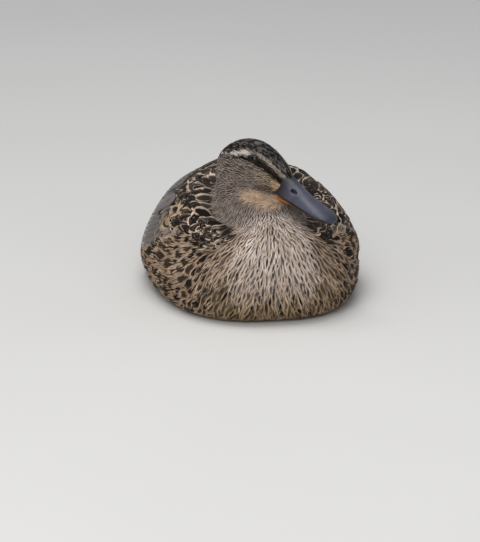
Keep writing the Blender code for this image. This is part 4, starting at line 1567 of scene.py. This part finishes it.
# %% Eyes and lids
def eye_finish():
    """Wet cornea over a dark brown iris and a black pupil: the one sharp glint on the bird."""
    material, tree = new_material("wet eye")
    x, y, _ = split(field(tree, "spot", "Vector"))
    flat = vector_of(x, y)
    ring = flat.vector("LENGTH", socket="Value")
    iris = blended(noise(flat, 1.6, 4.0), "#0f0806", "#22140c")
    colour = blended(step(ring, PUPIL - 0.25, PUPIL + 0.25), "#050404", iris)
    return surfaced(
        material,
        Base_Color=blended(step(ring, IRIS - 0.3, IRIS + 0.2), colour, "#120c0a"),
        Roughness=0.3,
        Specular_IOR_Level=0.2,
        Coat_Weight=0.3,
        Coat_Roughness=0.05,
        Coat_IOR=1.38,
    )


def lid_finish():
    """Bare blackish skin, finely wrinkled, which rims the eye and makes it look larger."""
    material, tree = new_material("eyelid skin")
    creases = noise(place_in(tree), 1 / (0.7 * MM), Distortion=1.5)
    colour = blended(creases, "#100b09", "#251c17")
    return surfaced(material, Base_Color=colour, Roughness=0.55, Normal=bumped(creases, 0.5, 0.15 * MM))


def ring_mesh(name, rows):
    """A closed tube from rows of places round an opening; the first row follows the last."""
    count, size = len(rows), len(rows[0])
    spot = lambda row, k: row % count * size + k % size
    faces = [
        (spot(row, k), spot(row, k + 1), spot(row + 1, k + 1), spot(row + 1, k))
        for row in range(count) for k in range(size)
    ]
    mesh = new_mesh(name, np.concatenate(rows), faces)
    reworked(mesh, lambda form: bmesh.ops.recalc_face_normals(form, faces=form.faces))
    return mesh


def round_ball(form):
    """A unit ball. Its faces are sorted, as their own order would change from run to run."""
    bmesh.ops.create_uvsphere(form, u_segments=40, v_segments=28, radius=1)
    form.faces.sort(key=lambda face: face.calc_center_median().dot(SORTED_ALONG))


# Each row of the lids: how much wider than the opening, and how far above the ball, in mm.
LID_ROWS = ((0, -0.6), (0, 0.15), (0.25, 0.3), (0.7, 0.2), (1.2, -0.2), (1.6, -0.8), (1.2, -1.4))
TURN = np.linspace(0, 2 * np.pi, 48, endpoint=False)
# The opening is pointed a little at both corners.
LID_RIM = np.column_stack((
    LID_OPEN[0] * (1 + 0.16 * np.abs(np.cos(TURN)) ** 6) * np.cos(TURN), LID_OPEN[1] * np.sin(TURN),
))
WET, LID = eye_finish(), lid_finish()
for node, centre, out, ahead, up, depth in eye_frames():
    ball = bpy.data.meshes.new(node + "_ball")
    reworked(ball, round_ball)
    shape = corners(ball)
    keep_field(ball, "spot", shape * EYE_SIZE / MM)
    bulge = CORNEA * ramp(shape[:, 2], 0.62, 0.95)
    shape = shape * (EYE_SIZE + bulge)[:, None]
    move_corners(ball, centre + shape @ np.array((ahead, np.cross(out, ahead), out)))
    worn(shown(node + "_ball", ball), "eye", node, finish=WET)

    rows = []
    for wider, above in LID_ROWS:
        flat = LID_RIM * (1 + wider * MM / np.linalg.norm(LID_RIM, axis=1))[:, None]
        reach = np.minimum(np.linalg.norm(flat, axis=1), 0.97 * EYE_SIZE)
        height = np.sqrt(EYE_SIZE**2 - reach**2) + above * MM
        rows.append(centre + flat[:, :1] * ahead + flat[:, 1:] * up + height[:, None] * out)
    worn(shown(node + "_lids", ring_mesh(node + "_lids", rows)), "eye", finish=LID)
    print(node, "centre lies", round(depth / MM, 2), "mm under the skin around it")

# %% [markdown]
# ## Feet
# She sits on her feet, so only toes and webs peep out. They are orange skin over bone, wrinkled across the
# toes, in small scales. The solids have their shape already, so a fine smooth copy of each will do.

# %% Feet
def foot_finish():
    """Orange skin in small raised scales with dusky creases, a little translucent where it is web."""
    material, tree = new_material("orange webbed skin")
    place = place_in(tree)
    scales = {"Vector": place, "Scale": 1 / (1.6 * MM), "Randomness": 0.7}
    scales = got(tree, "ShaderNodeTexVoronoi", scales, "Distance", feature="DISTANCE_TO_EDGE")
    stain = noise(place, 1 / (7 * MM))
    colour = blended(step(stain, 0.35, 0.7), "#c9742c", "#a65a22")
    return surfaced(
        material,
        Base_Color=blended(step(scales, 0.12, 0.0), colour, "#6b3f22"),
        Roughness=0.5,
        Normal=bumped(step(scales, 0.0, 0.25), 0.5, 0.3 * MM),
        Subsurface_Weight=0.05,
        Subsurface_Radius=(0.003, 0.001, 0.0006),
    )


FOOT = foot_finish()
for side in ("left", "right"):
    for name, node in (("webbed_foot_", "foot_"), ("shank_", "leg_")):
        bare_piece(name + side, (node + side,), "foot_skin", FOOT_VOXEL, 2, FOOT)

# %% [markdown]
# ## Floor, light and camera
# A plain pale floor and soft light from above show the feathers as a dull day does. The camera stands three
# metres off with a long lens, a little above her and slightly to her right.

# %% Floor
FLOOR_HALF = 6.0
FLOOR_GREY = linear("#d9d7d2")


def floor_finish():
    """Matt and faintly cloudy, so that nothing on it draws the eye from the bird."""
    material, tree = new_material("matt studio floor")
    shades = (*(FLOOR_GREY * 0.94), 1), (*np.minimum(FLOOR_GREY * 1.04, 1), 1)
    return surfaced(material, Base_Color=blended(noise(place_in(tree), 2.0), *shades), Roughness=0.9)


square = [(x * FLOOR_HALF, y * FLOOR_HALF, 0) for x, y in ((-1, -1), (1, -1), (1, 1), (-1, 1))]
floor_mesh = new_mesh("floor", square, [(0, 1, 2, 3)])
floor_mesh.materials.append(floor_finish())
shown("floor", floor_mesh)

# %% Light
LIT = Vector((0, 0, 0.05))


def soft_light(name, place, size, power):
    lamp = bpy.data.lights.new(name, "AREA")
    lamp.size, lamp.energy = size, power
    thing = shown(name, lamp)
    thing.location = place
    thing.rotation_euler = (LIT - Vector(place)).to_track_quat("-Z", "Y").to_euler()


soft_light("sky_light", (-0.3, -0.2, 2.2), 1.5, 28)
soft_light("front_light", (-0.7, -2.0, 1.5), 1.3, 27)
world = bpy.data.worlds.new("pale room")
world.use_nodes = True
room = world.node_tree.nodes["Background"].inputs
room["Color"].default_value, room["Strength"].default_value = (0.86, 0.9, 1.0, 1), 0.36
bpy.context.scene.world = world
bpy.context.scene.view_settings.view_transform = "Standard"

# %% Camera
AZIMUTH, ELEVATION, DISTANCE = math.radians(-10), math.radians(16), 3.0
VIEW_WIDTH = 388.8 * MM  # how much the view takes in from side to side, at the bird
AIM_RIGHT, AIM_UP = -11.34 * MM, 17.01 * MM
FILM_WIDTH = 36

level = math.cos(ELEVATION)
back = Vector((math.sin(AZIMUTH) * level, -math.cos(AZIMUTH) * level, math.sin(ELEVATION)))
right = Vector((math.cos(AZIMUTH), math.sin(AZIMUTH), 0))
up = back.cross(right)
lens = bpy.data.cameras.new("camera")
lens.sensor_width, lens.sensor_fit = FILM_WIDTH, "HORIZONTAL"
lens.lens = FILM_WIDTH * DISTANCE / VIEW_WIDTH
camera = shown("camera", lens)
turn = Matrix((right, up, back)).transposed().to_4x4()
camera.matrix_world = Matrix.Translation(right * AIM_RIGHT + up * AIM_UP + back * DISTANCE) @ turn
bpy.context.scene.camera = camera

# %% Clear away the patterns
bpy.data.objects.remove(WING_BED)
for collection in VANE_SETS:
    for thing in list(collection.objects):
        bpy.data.objects.remove(thing)
    bpy.data.collections.remove(collection)
